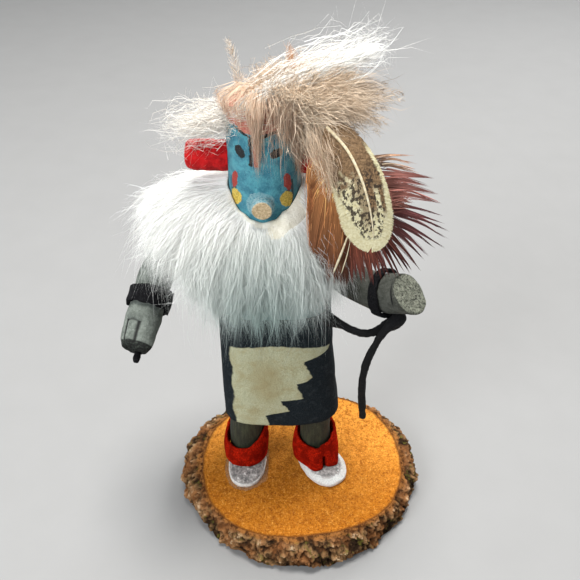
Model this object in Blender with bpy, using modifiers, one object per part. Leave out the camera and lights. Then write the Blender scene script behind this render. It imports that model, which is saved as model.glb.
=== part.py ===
"""A souvenir kachina doll: a carved and painted figure that wears a blue case mask, a rabbit-fur
collar, a bunch of feathers, a painted suede kilt and red boot cuffs, and stands glued on a slice
of a branch with its bark.

All sizes are millimetres, and become metres where a mesh is made. The origin is the centre of the
slice's underside, +Z is up and the doll faces -Y. Left and right are those of a person who faces
the doll. Each piece is one closed solid, and touching pieces keep GAP between them.
"""

import bpy
import bmesh
from math import cos, floor, pi, radians, sin
from mathutils import Vector

MM = 0.001
GAP = 0.3
WELD = 0.00005  # metres within which a turned shape's seam closes

# The slice of branch: flat sanded wood inside a ring of rough bark.
SLICE_HEIGHT = 10.0
WOOD_HALF = (32.4, 28.2)
BARK_HALF = (38.0, 33.6)
SLICE_SIDES = 64
BARK_LEVELS = (  # height, place between the wood's edge (0) and the bark's face (1), roughness
    (0.0, 0.70, 0.5),
    (1.4, 0.93, 0.9),
    (4.0, 1.00, 1.0),
    (6.4, 0.92, 1.0),
    (8.6, 0.60, 0.9),
    (9.5, 0.22, 0.5),
    (SLICE_HEIGHT, 0.0, 0.12),
)

# The carving: hips and torso as ovals, from the hips' underside up to the shoulders.
CARVED_SIDES = 28
CARVED_POWER = 2.7
CARVED_LEVELS = (  # height, centre x, centre y, half width, half depth, turn
    (40.0, -6.1, 2.3, 15.3, 9.5, 4.0),
    (58.0, -6.9, 2.1, 14.5, 9.2, 4.0),
    (74.0, -7.6, 1.9, 13.7, 8.9, 4.0),
    (80.0, -7.9, 1.7, 13.0, 8.6, 2.0),
    (91.0, -8.6, 1.3, 14.2, 8.8, 0.0),
    (98.0, -9.0, 1.0, 14.0, 8.4, 0.0),
    (101.6, -9.2, 0.8, 12.0, 7.6, 0.0),
    (104.2, -9.4, 0.5, 8.0, 6.6, 0.0),
)

# Legs and moccasins. A foot is an oval that is pressed in as it rises to the ankle.
FOOT_BASE = SLICE_HEIGHT + GAP
FOOT_LEVELS = ((0.0, 0.96), (0.7, 1.0), (1.6, 0.99), (2.5, 0.84), (3.1, 0.55))
FOOT_POWER = 2.3
LEG_TOP = 46.0
LEG_SIDES = 16
LEGS = {  # ankle, hip, radius, foot centre, half length, half width, turn outward in degrees
    "left": ((-17.6, 0.9), (-16.0, 1.3), 5.2, (-16.9, -3.0), 9.0, 5.9, -3.0),
    "right": ((4.9, 1.4), (4.0, 1.4), 4.8, (7.2, -1.9), 9.2, 6.6, 35.0),
}

# Boot cuffs: a suede band round each ankle, lower in front than behind.
CUFF_THICK = 0.9
CUFF_SIDES = 24
CUFFS = {  # bottom, front top, rise at the back and the right, bottom half sizes, top radius
    "left": (13.75, 21.4, (6.0, 2.2), (7.1, 7.6), 6.8),
    "right": (13.75, 22.2, (4.6, 0.3), (7.4, 8.0), 6.3),
}

# The kilt: a sheet of suede wrapped round the hips.
KILT_THICK = 1.2
KILT_SIDES = 36
KILT_POWER = 3.2
KILT_TURN = 4.0
KILT_LEVELS = (  # height, centre x, centre y, half width, half depth
    (37.0, -6.1, 2.3, 17.1, 11.3),
    (50.0, -6.7, 2.2, 16.6, 11.1),
    (64.0, -7.3, 2.0, 15.8, 10.8),
    (77.0, -7.7, 1.9, 15.3, 10.6),
)

# Arms: shoulder, elbow, wrist and the middle of the fist's end, with the radius at each.
ARM_SIDES = 16
ARMS = {
    "left": (((-22.0, 2.5, 96.5), 5.2), ((-37.0, 1.5, 86.5), 4.8), ((-39.9, -5.5, 80.4), 4.4),
             ((-41.0, -10.0, 77.6), 4.7), ((-42.2, -17.0, 73.6), 4.0)),
    "right": (((3.6, 2.0, 93.6), 4.8), ((11.2, 0.4, 86.0), 4.7), ((18.6, -5.3, 85.7), 4.7),
              ((21.8, -7.6, 87.1), 5.0), ((26.4, -10.6, 89.4), 5.0)),
}
BAND_THICK = 0.9
BAND_REACH = {"left": (5, 7), "right": (7, 9)}  # steps along the arm's path
STUB_RADIUS = 1.1

# The head: a case mask like a can with a rounded top, a snout peg and two ear pegs.
MASK_CENTRE = (-9.4, 0.0)
MASK_RADIUS = 8.6
MASK_LEVELS = (104.5, 134.0)
MASK_ROUND = 2.4
SNOUT_TURN = 0.5
SNOUT_RADIUS = 2.45
SNOUT_HEIGHT = 112.2
SNOUT_REACH = 2.4
EAR_RADIUS = 3.7
EAR_LENGTH = 9.6
EAR_HEIGHT = 120.0

# The fur collar: a strip of rabbit hide round the neck whose fur falls in pointed locks.
FUR_SIDES = 72
FUR_LOCKS = 18
FUR_KEYS = (  # azimuth from the front towards the right, reach, hem height, collar height, drop
    (0.0, 16.5, 80.0, 108.0, 1.5),
    (40.0, 19.0, 80.5, 109.5, 1.6),
    (85.0, 19.5, 84.5, 113.0, 1.5),
    (130.0, 20.0, 85.0, 113.0, 1.5),
    (180.0, 17.5, 84.0, 112.0, 1.5),
    (225.0, 22.0, 88.0, 111.0, 1.7),
    (262.0, 31.5, 95.5, 110.0, 2.0),
    (284.0, 29.0, 90.0, 109.5, 2.0),
    (310.0, 22.0, 82.0, 108.5, 1.8),
    (335.0, 18.5, 79.5, 108.0, 1.6),
)
FUR_STEPS = (0.0, 0.18, 0.40, 0.64, 0.85, 1.0)
FUR_LINING = (86.0, 91.0, 98.0, 101.6, 104.0)  # heights of its inner side, on the torso
HEM_THICK = (2.4, 1.7)  # how far the hem's underside is inward and up
HIDE_THICK = 0.7
LOCK_DEPTH = 1.1
LOCK_FALL = 3.6

# The headdress: fluffy plumes over the mask, with feathers that hang from their right side.
PLUME_CENTRE = (0.0, 0.5, 134.0)
PLUME_DEPTH = 12.4
PLUME_BACK_DROP = 4.5
PLUME_SIDES = 56
PLUME_TIPS = 14
PLUME_TIP_REACH = 0.24
PLUME_OUTLINE = (  # angle from the right, turning up, and reach from the centre
    (0.0, 21.0), (25.0, 18.0), (42.0, 15.2), (65.0, 10.5), (90.0, 7.0), (125.0, 7.0),
    (150.0, 12.0), (172.0, 17.0), (186.0, 18.0), (200.0, 17.0), (212.0, 13.5), (235.0, 10.5),
    (258.0, 12.5), (276.0, 18.5), (300.0, 20.0), (330.0, 20.0),
)
PLUME_SLICES = 7
TUFT_PATH = ((-14.4, -4.4, 136.1), (-7.0, -4.2, 138.6), (2.0, -2.6, 141.0), (10.5, -0.4, 144.0),
             (17.0, 1.4, 146.6))
TUFT_RADII = (1.5, 2.3, 2.4, 1.7, 0.5)

# Feathers: quill path, half width to the left and right when the tip hangs down, thickness,
# barb teeth, tooth depth, and how far the teeth sweep towards the tip at the base and at the tip.
FEATHERS = {
    "feather_speckled": (((4.6, -9.9, 132.6), (9.0, -12.2, 128.6), (12.2, -13.9, 123.0),
                          (14.4, -15.0, 116.6), (15.6, -15.4, 110.6), (15.9, -15.4, 104.8)),
                         7.0, 4.9, 1.3, 0, 0.0, 0.0, 0.0),
    "feather_rust": (((2.9, -9.4, 123.5), (4.4, -10.8, 116.5), (6.0, -11.6, 109.0),
                      (7.4, -11.8, 97.0)), 5.2, 5.4, 1.4, 8, 0.30, 0.5, 0.9),
    "feather_maroon": (((14.0, -8.0, 124.0), (17.4, -9.6, 115.0), (18.4, -10.4, 106.5),
                        (17.8, -10.6, 99.5)), 9.0, 14.5, 1.4, 11, 0.55, 0.25, 1.15),
    "plume_left": (((-18.5, -2.0, 128.8), (-22.5, -1.6, 128.8), (-27.5, -0.8, 127.0),
                    (-32.4, 0.0, 123.8)), 3.4, 3.0, 1.2, 6, 0.5, 0.6, 0.6),
    "wisp_upright": (((-13.9, 3.4, 135.6), (-14.8, 3.5, 138.6), (-15.5, 3.5, 142.0),
                      (-16.5, 3.4, 145.4)), 1.5, 1.5, 0.9, 4, 0.45, 0.6, 0.6),
}
QUILL_HALF = 0.5
FEATHER_FACE = Vector((0.0, -0.9, 0.45))

# The thong: one strip of black leather from the belt, up under the right fist, and down.
THONG_WIDTH = 2.0
THONG_POINTS = 60
THONG_ROUTE = (
    (8.6, -9.4, 78.6), (10.8, -10.7, 78.5), (13.4, -11.4, 77.6), (16.4, -11.6, 76.9),
    (19.4, -10.9, 77.3), (22.4, -9.9, 78.6), (24.8, -9.9, 80.4), (24.8, -11.0, 82.0),
    (22.8, -12.2, 81.2), (20.5, -12.8, 78.0), (18.9, -12.8, 73.8), (17.5, -12.6, 68.6),
    (16.8, -12.2, 63.0), (16.8, -11.8, 56.5), (17.3, -11.4, 50.0), (17.8, -11.0, 44.8),
)

TAU = 2.0 * pi


# ---------------------------------------------------------------- scene, materials and meshes

def clear_scene():
    for obj in list(bpy.data.objects):
        bpy.data.objects.remove(obj, do_unlink=True)


def new_collection(name):
    collection = bpy.data.collections.new(name)
    bpy.context.scene.collection.children.link(collection)
    return collection


def paint(obj, colour, roughness=0.7):
    """Give the piece its own material."""
    mat = bpy.data.materials.new(obj.name)
    mat.use_nodes = True
    shader = mat.node_tree.nodes["Principled BSDF"]
    shader.inputs["Base Color"].default_value = (*colour, 1.0)
    shader.inputs["Roughness"].default_value = roughness
    mat.diffuse_color = (*colour, 1.0)
    obj.data.materials.append(mat)


def add_solid(name, rings, ends="caps"):
    """Skin rings of equal count. The ends are "caps", "open" or joined as a "loop".

    The skin is made of flat triangles, so that a later cut follows it exactly.
    """
    bm = bmesh.new()
    rows = [[bm.verts.new(Vector(point) * MM) for point in ring] for ring in rings]
    pairs = list(zip(rows, rows[1:]))
    if ends == "loop":
        pairs.append((rows[-1], rows[0]))
    for lower, upper in pairs:
        for i in range(len(lower)):
            j = (i + 1) % len(lower)
            bm.faces.new((lower[i], lower[j], upper[j], upper[i]))
    if ends == "caps":
        bm.faces.new(rows[0])
        bm.faces.new(rows[-1])
    bmesh.ops.recalc_face_normals(bm, faces=bm.faces)
    bmesh.ops.triangulate(bm, faces=bm.faces)
    mesh = bpy.data.meshes.new(name)
    bm.to_mesh(mesh)
    bm.free()
    obj = bpy.data.objects.new(name, mesh)
    PARTS.objects.link(obj)
    return obj


def as_cutter(obj):
    """Move a shape to the cutters, which only cut or extend other pieces."""
    PARTS.objects.unlink(obj)
    CUTTERS.objects.link(obj)
    obj.hide_render = True
    obj.display_type = "WIRE"
    return obj


def combine(obj, other, operation):
    step = obj.modifiers.new(operation.title() + "_" + other.name, "BOOLEAN")
    step.operation = operation
    step.solver = "EXACT"
    step.object = other


def thicken(obj, thickness, offset):
    step = obj.modifiers.new("Thickness", "SOLIDIFY")
    step.thickness = thickness * MM
    step.offset = offset
    step.use_even_offset = True


def smooth(obj, angle=40.0):
    obj.data.shade_smooth()
    obj.data.set_sharp_from_angle(angle=radians(angle))


# ---------------------------------------------------------------- outlines and paths

def oval(height, x, y, half_width, half_depth, power, sides, turn=0.0):
    """A rounded-box outline at one height: power 2 is an ellipse, and more is squarer."""
    points = []
    for i in range(sides):
        angle = TAU * i / sides
        c, s = cos(angle), sin(angle)
        size = (abs(c) ** power + abs(s) ** power) ** (-1.0 / power)
        u, v = half_width * size * c, half_depth * size * s
        t = radians(turn)
        points.append((x + u * cos(t) - v * sin(t), y + u * sin(t) + v * cos(t), height))
    return points


def spline(points, count):
    """A smooth curve through the points, as count + 1 evenly spaced parameters."""
    pts = [Vector(p) for p in points]
    pts = [2 * pts[0] - pts[1]] + pts + [2 * pts[-1] - pts[-2]]
    path = []
    for k in range(count + 1):
        place = k * (len(pts) - 3) / count
        i = min(floor(place), len(pts) - 4)
        t = place - i
        a, b, c, d = pts[i:i + 4]
        path.append(0.5 * (2 * b + (c - a) * t + (2 * a - 5 * b + 4 * c - d) * t * t
                           + (3 * b - a - 3 * c + d) * t ** 3))
    return path


def between(keys, place, column):
    """Read a column of a table at a place between its first column's values, smoothly."""
    for lower, upper in zip(keys, keys[1:]):
        if place <= upper[0]:
            t = (place - lower[0]) / (upper[0] - lower[0])
            t = t * t * (3 - 2 * t)
            return lower[column] + (upper[column] - lower[column]) * t
    return keys[-1][column]


def tube_rings(path, radii, sides):
    """Rings of a tube along a path, with a radius at each point."""
    rings = []
    side = None
    for i, centre in enumerate(path):
        ahead = (path[min(i + 1, len(path) - 1)] - path[max(i - 1, 0)]).normalized()
        if side is None:
            side = ahead.orthogonal()
        side = (side - ahead * side.dot(ahead)).normalized()
        other = ahead.cross(side)
        rings.append([centre + radii[i] * (cos(TAU * k / sides) * side
                                           + sin(TAU * k / sides) * other)
                      for k in range(sides)])
    return rings


# ---------------------------------------------------------------- the slice and the carving

def slice_waves(angle):
    """How far the wood's edge and the bark's face stand out from their ovals, in millimetres."""
    wood = 0.7 + 0.6 * cos(angle) + 0.9 * sin(2 * angle) - 0.8 * cos(4 * angle - 0.7)
    bark = -0.4 + 1.1 * cos(2 * angle - 0.3) + 1.3 * sin(3 * angle - 0.25)
    return wood, bark


def bark_lumps(angle, height):
    return (0.55 * sin(13 * angle + 0.35 * height) + 0.45 * sin(19 * angle - 0.8 * height + 1.0)
            + 0.4 * sin(29 * angle + 1.7 * height))


def slice_of_branch():
    rings = []
    for height, place, rough in BARK_LEVELS:
        ring = []
        for i in range(SLICE_SIDES):
            angle = TAU * i / SLICE_SIDES
            waves = slice_waves(angle)
            lumps = bark_lumps(angle, height) * rough
            x, y = [wood + waves[0] * (1.0 - place) + (bark + waves[1] - wood) * place + lumps
                    for wood, bark in zip(WOOD_HALF, BARK_HALF)]
            ring.append((x * cos(angle), y * sin(angle), height))
        rings.append(ring)
    obj = add_solid("base_slice", rings)
    smooth(obj)
    paint(obj, (0.72, 0.34, 0.07), 0.9)


def carved_ring(height, grow, sides):
    """The torso's outline at a height, in straight steps between its levels."""
    for lower, upper in zip(CARVED_LEVELS, CARVED_LEVELS[1:]):
        if lower[0] <= height <= upper[0]:
            t = (height - lower[0]) / (upper[0] - lower[0])
            x, y, half_width, half_depth, turn = [a + (b - a) * t
                                                  for a, b in zip(lower[1:], upper[1:])]
            return oval(height, x, y, half_width + grow, half_depth + grow, CARVED_POWER,
                        sides, turn)
    raise ValueError("height is outside the carving")


def torso(name, grow=0.0):
    rings = [carved_ring(level[0], grow, CARVED_SIDES) for level in CARVED_LEVELS]
    if grow:
        rings.append([(x, y, z + grow) for x, y, z in rings[-1]])
    return add_solid(name, rings)


def foot(side):
    centre, length, width, turn = LEGS[side][3:]
    rings = [oval(FOOT_BASE + rise, centre[0], centre[1], width * size, length * size,
                  FOOT_POWER, 20, turn) for rise, size in FOOT_LEVELS]
    return as_cutter(add_solid("foot_" + side, rings))


def leg(side):
    ankle, hip, radius = LEGS[side][:3]
    rings = []
    for t in (0.0, 0.25, 1.0):
        x, y = [a + (b - a) * t for a, b in zip(ankle, hip)]
        height = FOOT_BASE + 1.0 + (LEG_TOP - FOOT_BASE - 1.0) * t
        rings.append(oval(height, x, y, radius, radius, 2.0, LEG_SIDES))
    return as_cutter(add_solid("leg_" + side, rings))


def doll_body():
    """Torso, hips, legs and moccasins, which are carved from one root."""
    obj = torso("doll_body")
    for side in LEGS:
        combine(obj, leg(side), "UNION")
        combine(obj, foot(side), "UNION")
    smooth(obj)
    paint(obj, (0.16, 0.19, 0.18), 0.75)


# ---------------------------------------------------------------- suede pieces

def add_sheet(name, rings, thickness, offset):
    """An open tube of suede: a skin over the rings, thickened inward (-1) or outward (1)."""
    obj = add_solid(name, rings, "open")
    thicken(obj, thickness, offset)
    return obj


def kilt():
    rings = [oval(z, x, y, half_width, half_depth, KILT_POWER, KILT_SIDES, KILT_TURN)
             for z, x, y, half_width, half_depth in KILT_LEVELS]
    obj = add_sheet("kilt", rings, KILT_THICK, -1.0)
    smooth(obj)
    paint(obj, (0.62, 0.58, 0.42), 0.9)


def boot_cuff(side):
    ankle, hip = LEGS[side][:2]
    turn = LEGS[side][6]
    bottom, front_top, rise, half, top_radius = CUFFS[side]
    rings = []
    for t in (0.0, 0.35, 1.0):
        x = ankle[0] + (hip[0] - ankle[0]) * 0.2 * t
        y = ankle[1] + (hip[1] - ankle[1]) * 0.2 * t
        half_width, half_length = [a + (top_radius - a) * t ** 0.7 for a in half]
        ring = oval(bottom, x, y, half_width, half_length, 2.0, CUFF_SIDES, turn)
        top = [front_top + rise[0] * (0.5 + 0.5 * (py - y) / half_length)
               + rise[1] * (px - x) / half_width for px, py, pz in ring]
        rings.append([(px, py, bottom + (top[i] - bottom) * t)
                      for i, (px, py, pz) in enumerate(ring)])
    obj = add_sheet("boot_cuff_" + side, rings, CUFF_THICK, -1.0)
    smooth(obj)
    paint(obj, (0.55, 0.02, 0.03), 0.9)


# ---------------------------------------------------------------- arms

def arm_path(side):
    keys = ARMS[side]
    path = spline([key[0] for key in keys], 12)
    radii = []
    for k in range(len(path)):
        place = k * (len(keys) - 1) / (len(path) - 1)
        i = min(int(place), len(keys) - 2)
        radii.append(keys[i][1] + (keys[i + 1][1] - keys[i][1]) * (place - i))
    return path, radii


def arm(name, side, grow=0.0):
    """One carved arm: upper arm, bent elbow and a blunt fist, cut off slantwise at its end."""
    path, radii = arm_path(side)
    rings = tube_rings(path, [radius + grow for radius in radii], ARM_SIDES)
    ahead = (path[-1] - path[-2]).normalized()
    slant = Vector((0.0, 0.0, -0.55 if side == "right" else -0.08))
    for k, share in ((-3, 0.33), (-2, 0.67), (-1, 1.0)):
        rings[k] = [point + ahead * (slant.dot(point - path[k]) * share) for point in rings[k]]
    rings[-1] = [point + ahead * grow for point in rings[-1]]
    return add_solid(name, rings)


def arms():
    for side in ARMS:
        obj = arm("arm_" + side, side)
        combine(obj, as_cutter(torso("torso_clear_" + side, GAP)), "DIFFERENCE")
        smooth(obj)
        paint(obj, (0.27, 0.30, 0.30), 0.8)


def band_rings(side, grow):
    """The rings of the arm that its band covers, made larger."""
    path, radii = arm_path(side)
    first, last = BAND_REACH[side]
    return tube_rings(path, [radius + grow for radius in radii], ARM_SIDES)[first:last + 1]


def wrist_band(side):
    obj = add_sheet("wrist_band_" + side, band_rings(side, GAP), BAND_THICK, 1.0)
    smooth(obj)
    paint(obj, (0.012, 0.012, 0.014), 0.95)


def held_stub():
    """The broken end of a rod, in the underside of the left fist."""
    path, radii = arm_path("left")
    ahead = (path[-1] - path[-2]).normalized()
    start = path[-1] + ahead * (GAP + 0.2) + Vector((0.6, 0.0, -1.4))
    rings = tube_rings([start, start + ahead * 0.8, start + ahead * 1.9],
                       [STUB_RADIUS, STUB_RADIUS * 1.05, STUB_RADIUS * 0.6], 10)
    obj = add_solid("held_stub", rings)
    smooth(obj)
    paint(obj, (0.02, 0.02, 0.02), 0.9)


# ---------------------------------------------------------------- head

def mask(name, grow=0.0):
    """A turned case mask: a straight side and a rounded top edge."""
    bottom, top = MASK_LEVELS[0] - grow, MASK_LEVELS[1] + grow
    radius = MASK_RADIUS + grow
    profile = [(0.0, top)]
    for k in range(4):
        angle = pi / 2 * (1 - k / 3)
        profile.append((radius - MASK_ROUND * (1 - cos(angle)),
                        top - MASK_ROUND * (1 - sin(angle))))
    profile += [(radius, bottom), (0.0, bottom)]
    mesh = bpy.data.meshes.new(name)
    mesh.from_pydata([(x * MM, 0.0, z * MM) for x, z in profile],
                     [(i, i + 1) for i in range(len(profile) - 1)], [])
    obj = bpy.data.objects.new(name, mesh)
    PARTS.objects.link(obj)
    obj.location = (MASK_CENTRE[0] * MM, MASK_CENTRE[1] * MM, 0.0)
    step = obj.modifiers.new("Turn", "SCREW")
    step.steps = 32
    step.render_steps = 32
    step.use_merge_vertices = True
    step.merge_threshold = WELD
    return obj


def head():
    obj = mask("head_mask")
    paint(obj, (0.04, 0.32, 0.48), 0.8)
    clear = as_cutter(mask("mask_clear", GAP))
    centre = Vector((*MASK_CENTRE, SNOUT_HEIGHT))
    ahead = Vector((sin(radians(SNOUT_TURN)), -cos(radians(SNOUT_TURN)), 0.0))
    path = [centre + ahead * reach for reach in (5.0, MASK_RADIUS + SNOUT_REACH - 0.3,
                                                 MASK_RADIUS + SNOUT_REACH)]
    snout = add_solid("snout", tube_rings(path, [SNOUT_RADIUS, SNOUT_RADIUS,
                                                 SNOUT_RADIUS - 0.3], 18))
    combine(snout, clear, "DIFFERENCE")
    smooth(snout)
    paint(snout, (0.62, 0.47, 0.30), 0.8)
    for side, way in (("left", -1.0), ("right", 1.0)):
        ear = ear_peg("ear_" + side, way)
        combine(ear, clear, "DIFFERENCE")
        smooth(ear)
        paint(ear, (0.62, 0.01, 0.02), 0.85)


def ear_peg(name, way, grow=0.0):
    """A short red peg that stands out sideways from the mask, fuller in its middle."""
    reaches = (4.0, MASK_RADIUS + 1.0, MASK_RADIUS + 5.0, MASK_RADIUS + EAR_LENGTH - 1.0,
               MASK_RADIUS + EAR_LENGTH + grow)
    sizes = (0.94, 0.96, 1.0, 0.94, 0.70)
    path = [Vector((MASK_CENTRE[0] + way * reach, MASK_CENTRE[1] + 0.6, EAR_HEIGHT))
            for reach in reaches]
    return add_solid(name, tube_rings(path, [EAR_RADIUS * size + grow for size in sizes], 14))


# ---------------------------------------------------------------- fur collar

def fur_lock(column):
    """The crest (0 to 1) of the lock at a column, and how long that lock is (0 to 1)."""
    place = column * FUR_LOCKS / FUR_SIDES
    number = floor(place)
    crest = 1.0 - abs(2.0 * (place - number) - 1.0)
    length = 0.62 + 0.38 * sin(2.3 * number + 0.7) * cos(1.1 * number)
    return crest, length


def fur_point(column, step):
    """A point on the fur's outer side: step 0 is at the neck and 1 is the hem."""
    angle = TAU * column / FUR_SIDES
    azimuth = (angle * 360.0 / TAU + 90.0) % 360.0
    keys = FUR_KEYS + ((360.0,) + FUR_KEYS[0][1:],)
    reach, hem, top, drop = [between(keys, azimuth, k) for k in (1, 2, 3, 4)]
    crest, length = fur_lock(column)
    start = MASK_RADIUS + 1.6
    radius = start + (reach - start) * sin(step * pi / 2) ** 0.9
    radius += LOCK_DEPTH * (crest - 0.5) * step
    height = top - (top - hem) * step ** drop - LOCK_FALL * length * crest * step ** 3
    return Vector((MASK_CENTRE[0] + radius * cos(angle), MASK_CENTRE[1] + 0.5 + radius * sin(angle),
                   height))


def fur_collar():
    columns = range(FUR_SIDES)
    centre = Vector((MASK_CENTRE[0], MASK_CENTRE[1] + 0.5, 0.0))
    rings = [[fur_point(c, step) for c in columns] for step in FUR_STEPS]
    under = []
    for c in columns:
        edge = fur_point(c, 1.0)
        inward = Vector((centre.x - edge.x, centre.y - edge.y, 0.0)).normalized()
        under.append(edge + inward * HEM_THICK[0] + Vector((0.0, 0.0, HEM_THICK[1])))
    rings.append(under)
    clear = GAP + 0.1
    for height in FUR_LINING:
        rings.append([Vector(p) for p in carved_ring(height, clear, FUR_SIDES)])
    inside = MASK_RADIUS + clear
    for heights in ([MASK_LEVELS[0] - 0.1] * FUR_SIDES,
                    [point.z - HIDE_THICK for point in rings[0]]):
        rings.append([Vector((MASK_CENTRE[0] + inside * cos(TAU * c / FUR_SIDES),
                              MASK_CENTRE[1] + inside * sin(TAU * c / FUR_SIDES), heights[c]))
                      for c in columns])
    obj = add_solid("fur_collar", rings, "loop")
    for side in ARMS:
        combine(obj, as_cutter(arm("arm_clear_" + side, side, GAP)), "DIFFERENCE")
        combine(obj, as_cutter(band_clear(side)), "DIFFERENCE")
    smooth(obj, 70.0)
    paint(obj, (0.80, 0.80, 0.76), 0.9)


def band_clear(side):
    """The space that a wrist band needs in the fur."""
    rings = band_rings(side, 2 * GAP + BAND_THICK)
    for end, inner in ((0, 1), (-1, -2)):
        away = (rings[end][0] - rings[inner][0]).normalized() * GAP
        rings[end] = [point + away for point in rings[end]]
    return add_solid("band_clear_" + side, rings)


# ---------------------------------------------------------------- headdress

def feather(name, grow=0.0):
    """A feather as one thin blade: a quill ridge, two vanes and their barbs' pointed tips."""
    path, left, right, thick, teeth, depth, first_sweep, last_sweep = FEATHERS[name]
    count = max(2 * teeth, 12)
    spine = spline(path, count)
    rings = []
    for k, centre in enumerate(spine):
        t = k / count
        ahead = (spine[min(k + 1, count)] - spine[max(k - 1, 0)]).normalized()
        side = FEATHER_FACE.cross(ahead).normalized()
        face = ahead.cross(side).normalized()
        full = sin(pi * (0.12 + 0.8 * t)) ** 0.55 if k < count else 0.2
        tooth = 1.0 if grow else 1.0 - depth * (k % 2)
        sweep = 0.0 if k in (0, count) else first_sweep + (last_sweep - first_sweep) * t
        ring = []
        for way, half in ((-1.0, left), (1.0, right)):
            reach = max(half * full * tooth, QUILL_HALF) + grow
            edge = centre + side * (way * reach) + ahead * (sweep * reach)
            ridge = centre + face * (way * (thick / 2 + grow))
            ring += [edge, ridge]
        rings.append(ring)
    if grow:
        rings[0] = [point - (spine[1] - spine[0]).normalized() * grow for point in rings[0]]
    return add_solid(name + ("_clear" if grow else ""), rings)


def plume_reach(angle):
    """How far the plume mass reaches at an angle round its centre, and how far its tip stands out."""
    keys = PLUME_OUTLINE + ((360.0, PLUME_OUTLINE[0][1]),)
    place = angle * PLUME_TIPS / 360.0
    tip = 1.0 - abs(2.0 * (place - floor(place)) - 1.0)
    length = 0.6 + 0.4 * sin(2.1 * floor(place) + 0.4)
    return between(keys, angle, 1), tip * length


def plume_tan():
    """The mass of tan fluff, as slices from front to back whose outline has pointed tips."""
    rings = []
    for k in range(PLUME_SLICES):
        lean = -1.0 + 2.0 * (k + 0.35) / (PLUME_SLICES - 0.3)
        size = (1.0 - abs(lean) ** 3.5) ** 0.35
        ring = []
        for i in range(PLUME_SIDES):
            angle = 360.0 * i / PLUME_SIDES
            reach, tip = plume_reach(angle)
            reach *= size * (1.0 + PLUME_TIP_REACH * (tip - 0.35) * size)
            ring.append((PLUME_CENTRE[0] + reach * cos(radians(angle)),
                         PLUME_CENTRE[1] + PLUME_DEPTH * lean,
                         PLUME_CENTRE[2] - max(0.0, lean) * PLUME_BACK_DROP
                         + reach * sin(radians(angle))))
        rings.append(ring)
    obj = add_solid("plume_tan", rings)
    combine(obj, as_cutter(mask("mask_clear_plume", GAP)), "DIFFERENCE")
    combine(obj, as_cutter(ear_peg("ear_clear", 1.0, GAP)), "DIFFERENCE")
    combine(obj, as_cutter(tuft("tuft_clear", GAP)), "DIFFERENCE")
    for name in FEATHERS:
        combine(obj, as_cutter(feather(name, GAP)), "DIFFERENCE")
    smooth(obj, 60.0)
    paint(obj, (0.52, 0.40, 0.28), 0.95)


def tuft(name, grow=0.0):
    path = spline(TUFT_PATH, 8)
    radii = [between([(k, r) for k, r in enumerate(TUFT_RADII)], j * 0.5, 1) + grow
             for j in range(len(path))]
    return add_solid(name, tube_rings(path, radii, 10))


def feathers():
    colours = {"feather_speckled": (0.72, 0.62, 0.38), "feather_rust": (0.26, 0.08, 0.03),
               "feather_maroon": (0.14, 0.03, 0.03), "plume_left": (0.60, 0.52, 0.42),
               "wisp_upright": (0.55, 0.46, 0.36)}
    for name in FEATHERS:
        obj = feather(name)
        smooth(obj)
        paint(obj, colours[name], 0.8)
    white = tuft("plume_white")
    smooth(white)
    paint(white, (0.85, 0.83, 0.78), 0.95)


def hand_thong():
    curve = bpy.data.curves.new("hand_thong", "CURVE")
    curve.dimensions = "3D"
    curve.bevel_depth = THONG_WIDTH * MM / 2
    curve.bevel_resolution = 2
    curve.use_fill_caps = True
    path = spline(THONG_ROUTE, THONG_POINTS - 1)
    run = curve.splines.new("POLY")
    run.points.add(THONG_POINTS - 1)
    for point, place in zip(run.points, path):
        point.co = (*(place * MM), 1.0)
    obj = bpy.data.objects.new("hand_thong", curve)
    PARTS.objects.link(obj)
    paint(obj, (0.015, 0.014, 0.014), 0.9)


clear_scene()
PARTS = new_collection("kachina_doll")
CUTTERS = new_collection("cutters")
slice_of_branch()
doll_body()
kilt()
for foot_side in CUFFS:
    boot_cuff(foot_side)
arms()
for hand in BAND_REACH:
    wrist_band(hand)
held_stub()
head()
fur_collar()
plume_tan()
feathers()
hand_thong()
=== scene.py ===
"""Looks of the souvenir kachina doll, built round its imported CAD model.

Sizes are millimetres unless a name says otherwise, and become metres in add_mesh. The frame is
the CAD's: the origin is the centre of the slice's underside, +Z is up and the doll faces -Y.
Left and right are those of a person who faces the doll. An azimuth is in degrees round an
upright line, from the front towards the right.
"""

from math import cos, pi, radians, sin

import bpy
import numpy as np
from mathutils import Matrix, Vector, noise


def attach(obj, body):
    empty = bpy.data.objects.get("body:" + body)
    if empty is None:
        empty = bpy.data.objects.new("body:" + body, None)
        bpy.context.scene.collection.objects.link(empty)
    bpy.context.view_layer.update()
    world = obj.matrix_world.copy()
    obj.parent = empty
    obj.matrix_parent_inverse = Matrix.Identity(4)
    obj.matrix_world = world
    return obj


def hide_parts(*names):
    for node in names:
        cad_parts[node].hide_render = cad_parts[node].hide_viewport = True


MM = 0.001
TAU = 2.0 * pi
BODY = "root"

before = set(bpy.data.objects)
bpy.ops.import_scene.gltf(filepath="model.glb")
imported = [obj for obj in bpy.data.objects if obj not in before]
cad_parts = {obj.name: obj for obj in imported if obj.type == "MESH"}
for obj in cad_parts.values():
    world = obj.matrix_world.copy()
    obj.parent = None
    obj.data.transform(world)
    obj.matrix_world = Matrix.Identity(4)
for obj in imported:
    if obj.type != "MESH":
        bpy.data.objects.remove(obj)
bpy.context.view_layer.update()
RANDOM = np.random.default_rng(7)


# ---------------------------------------------------------------- camera, lights and floor

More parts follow.
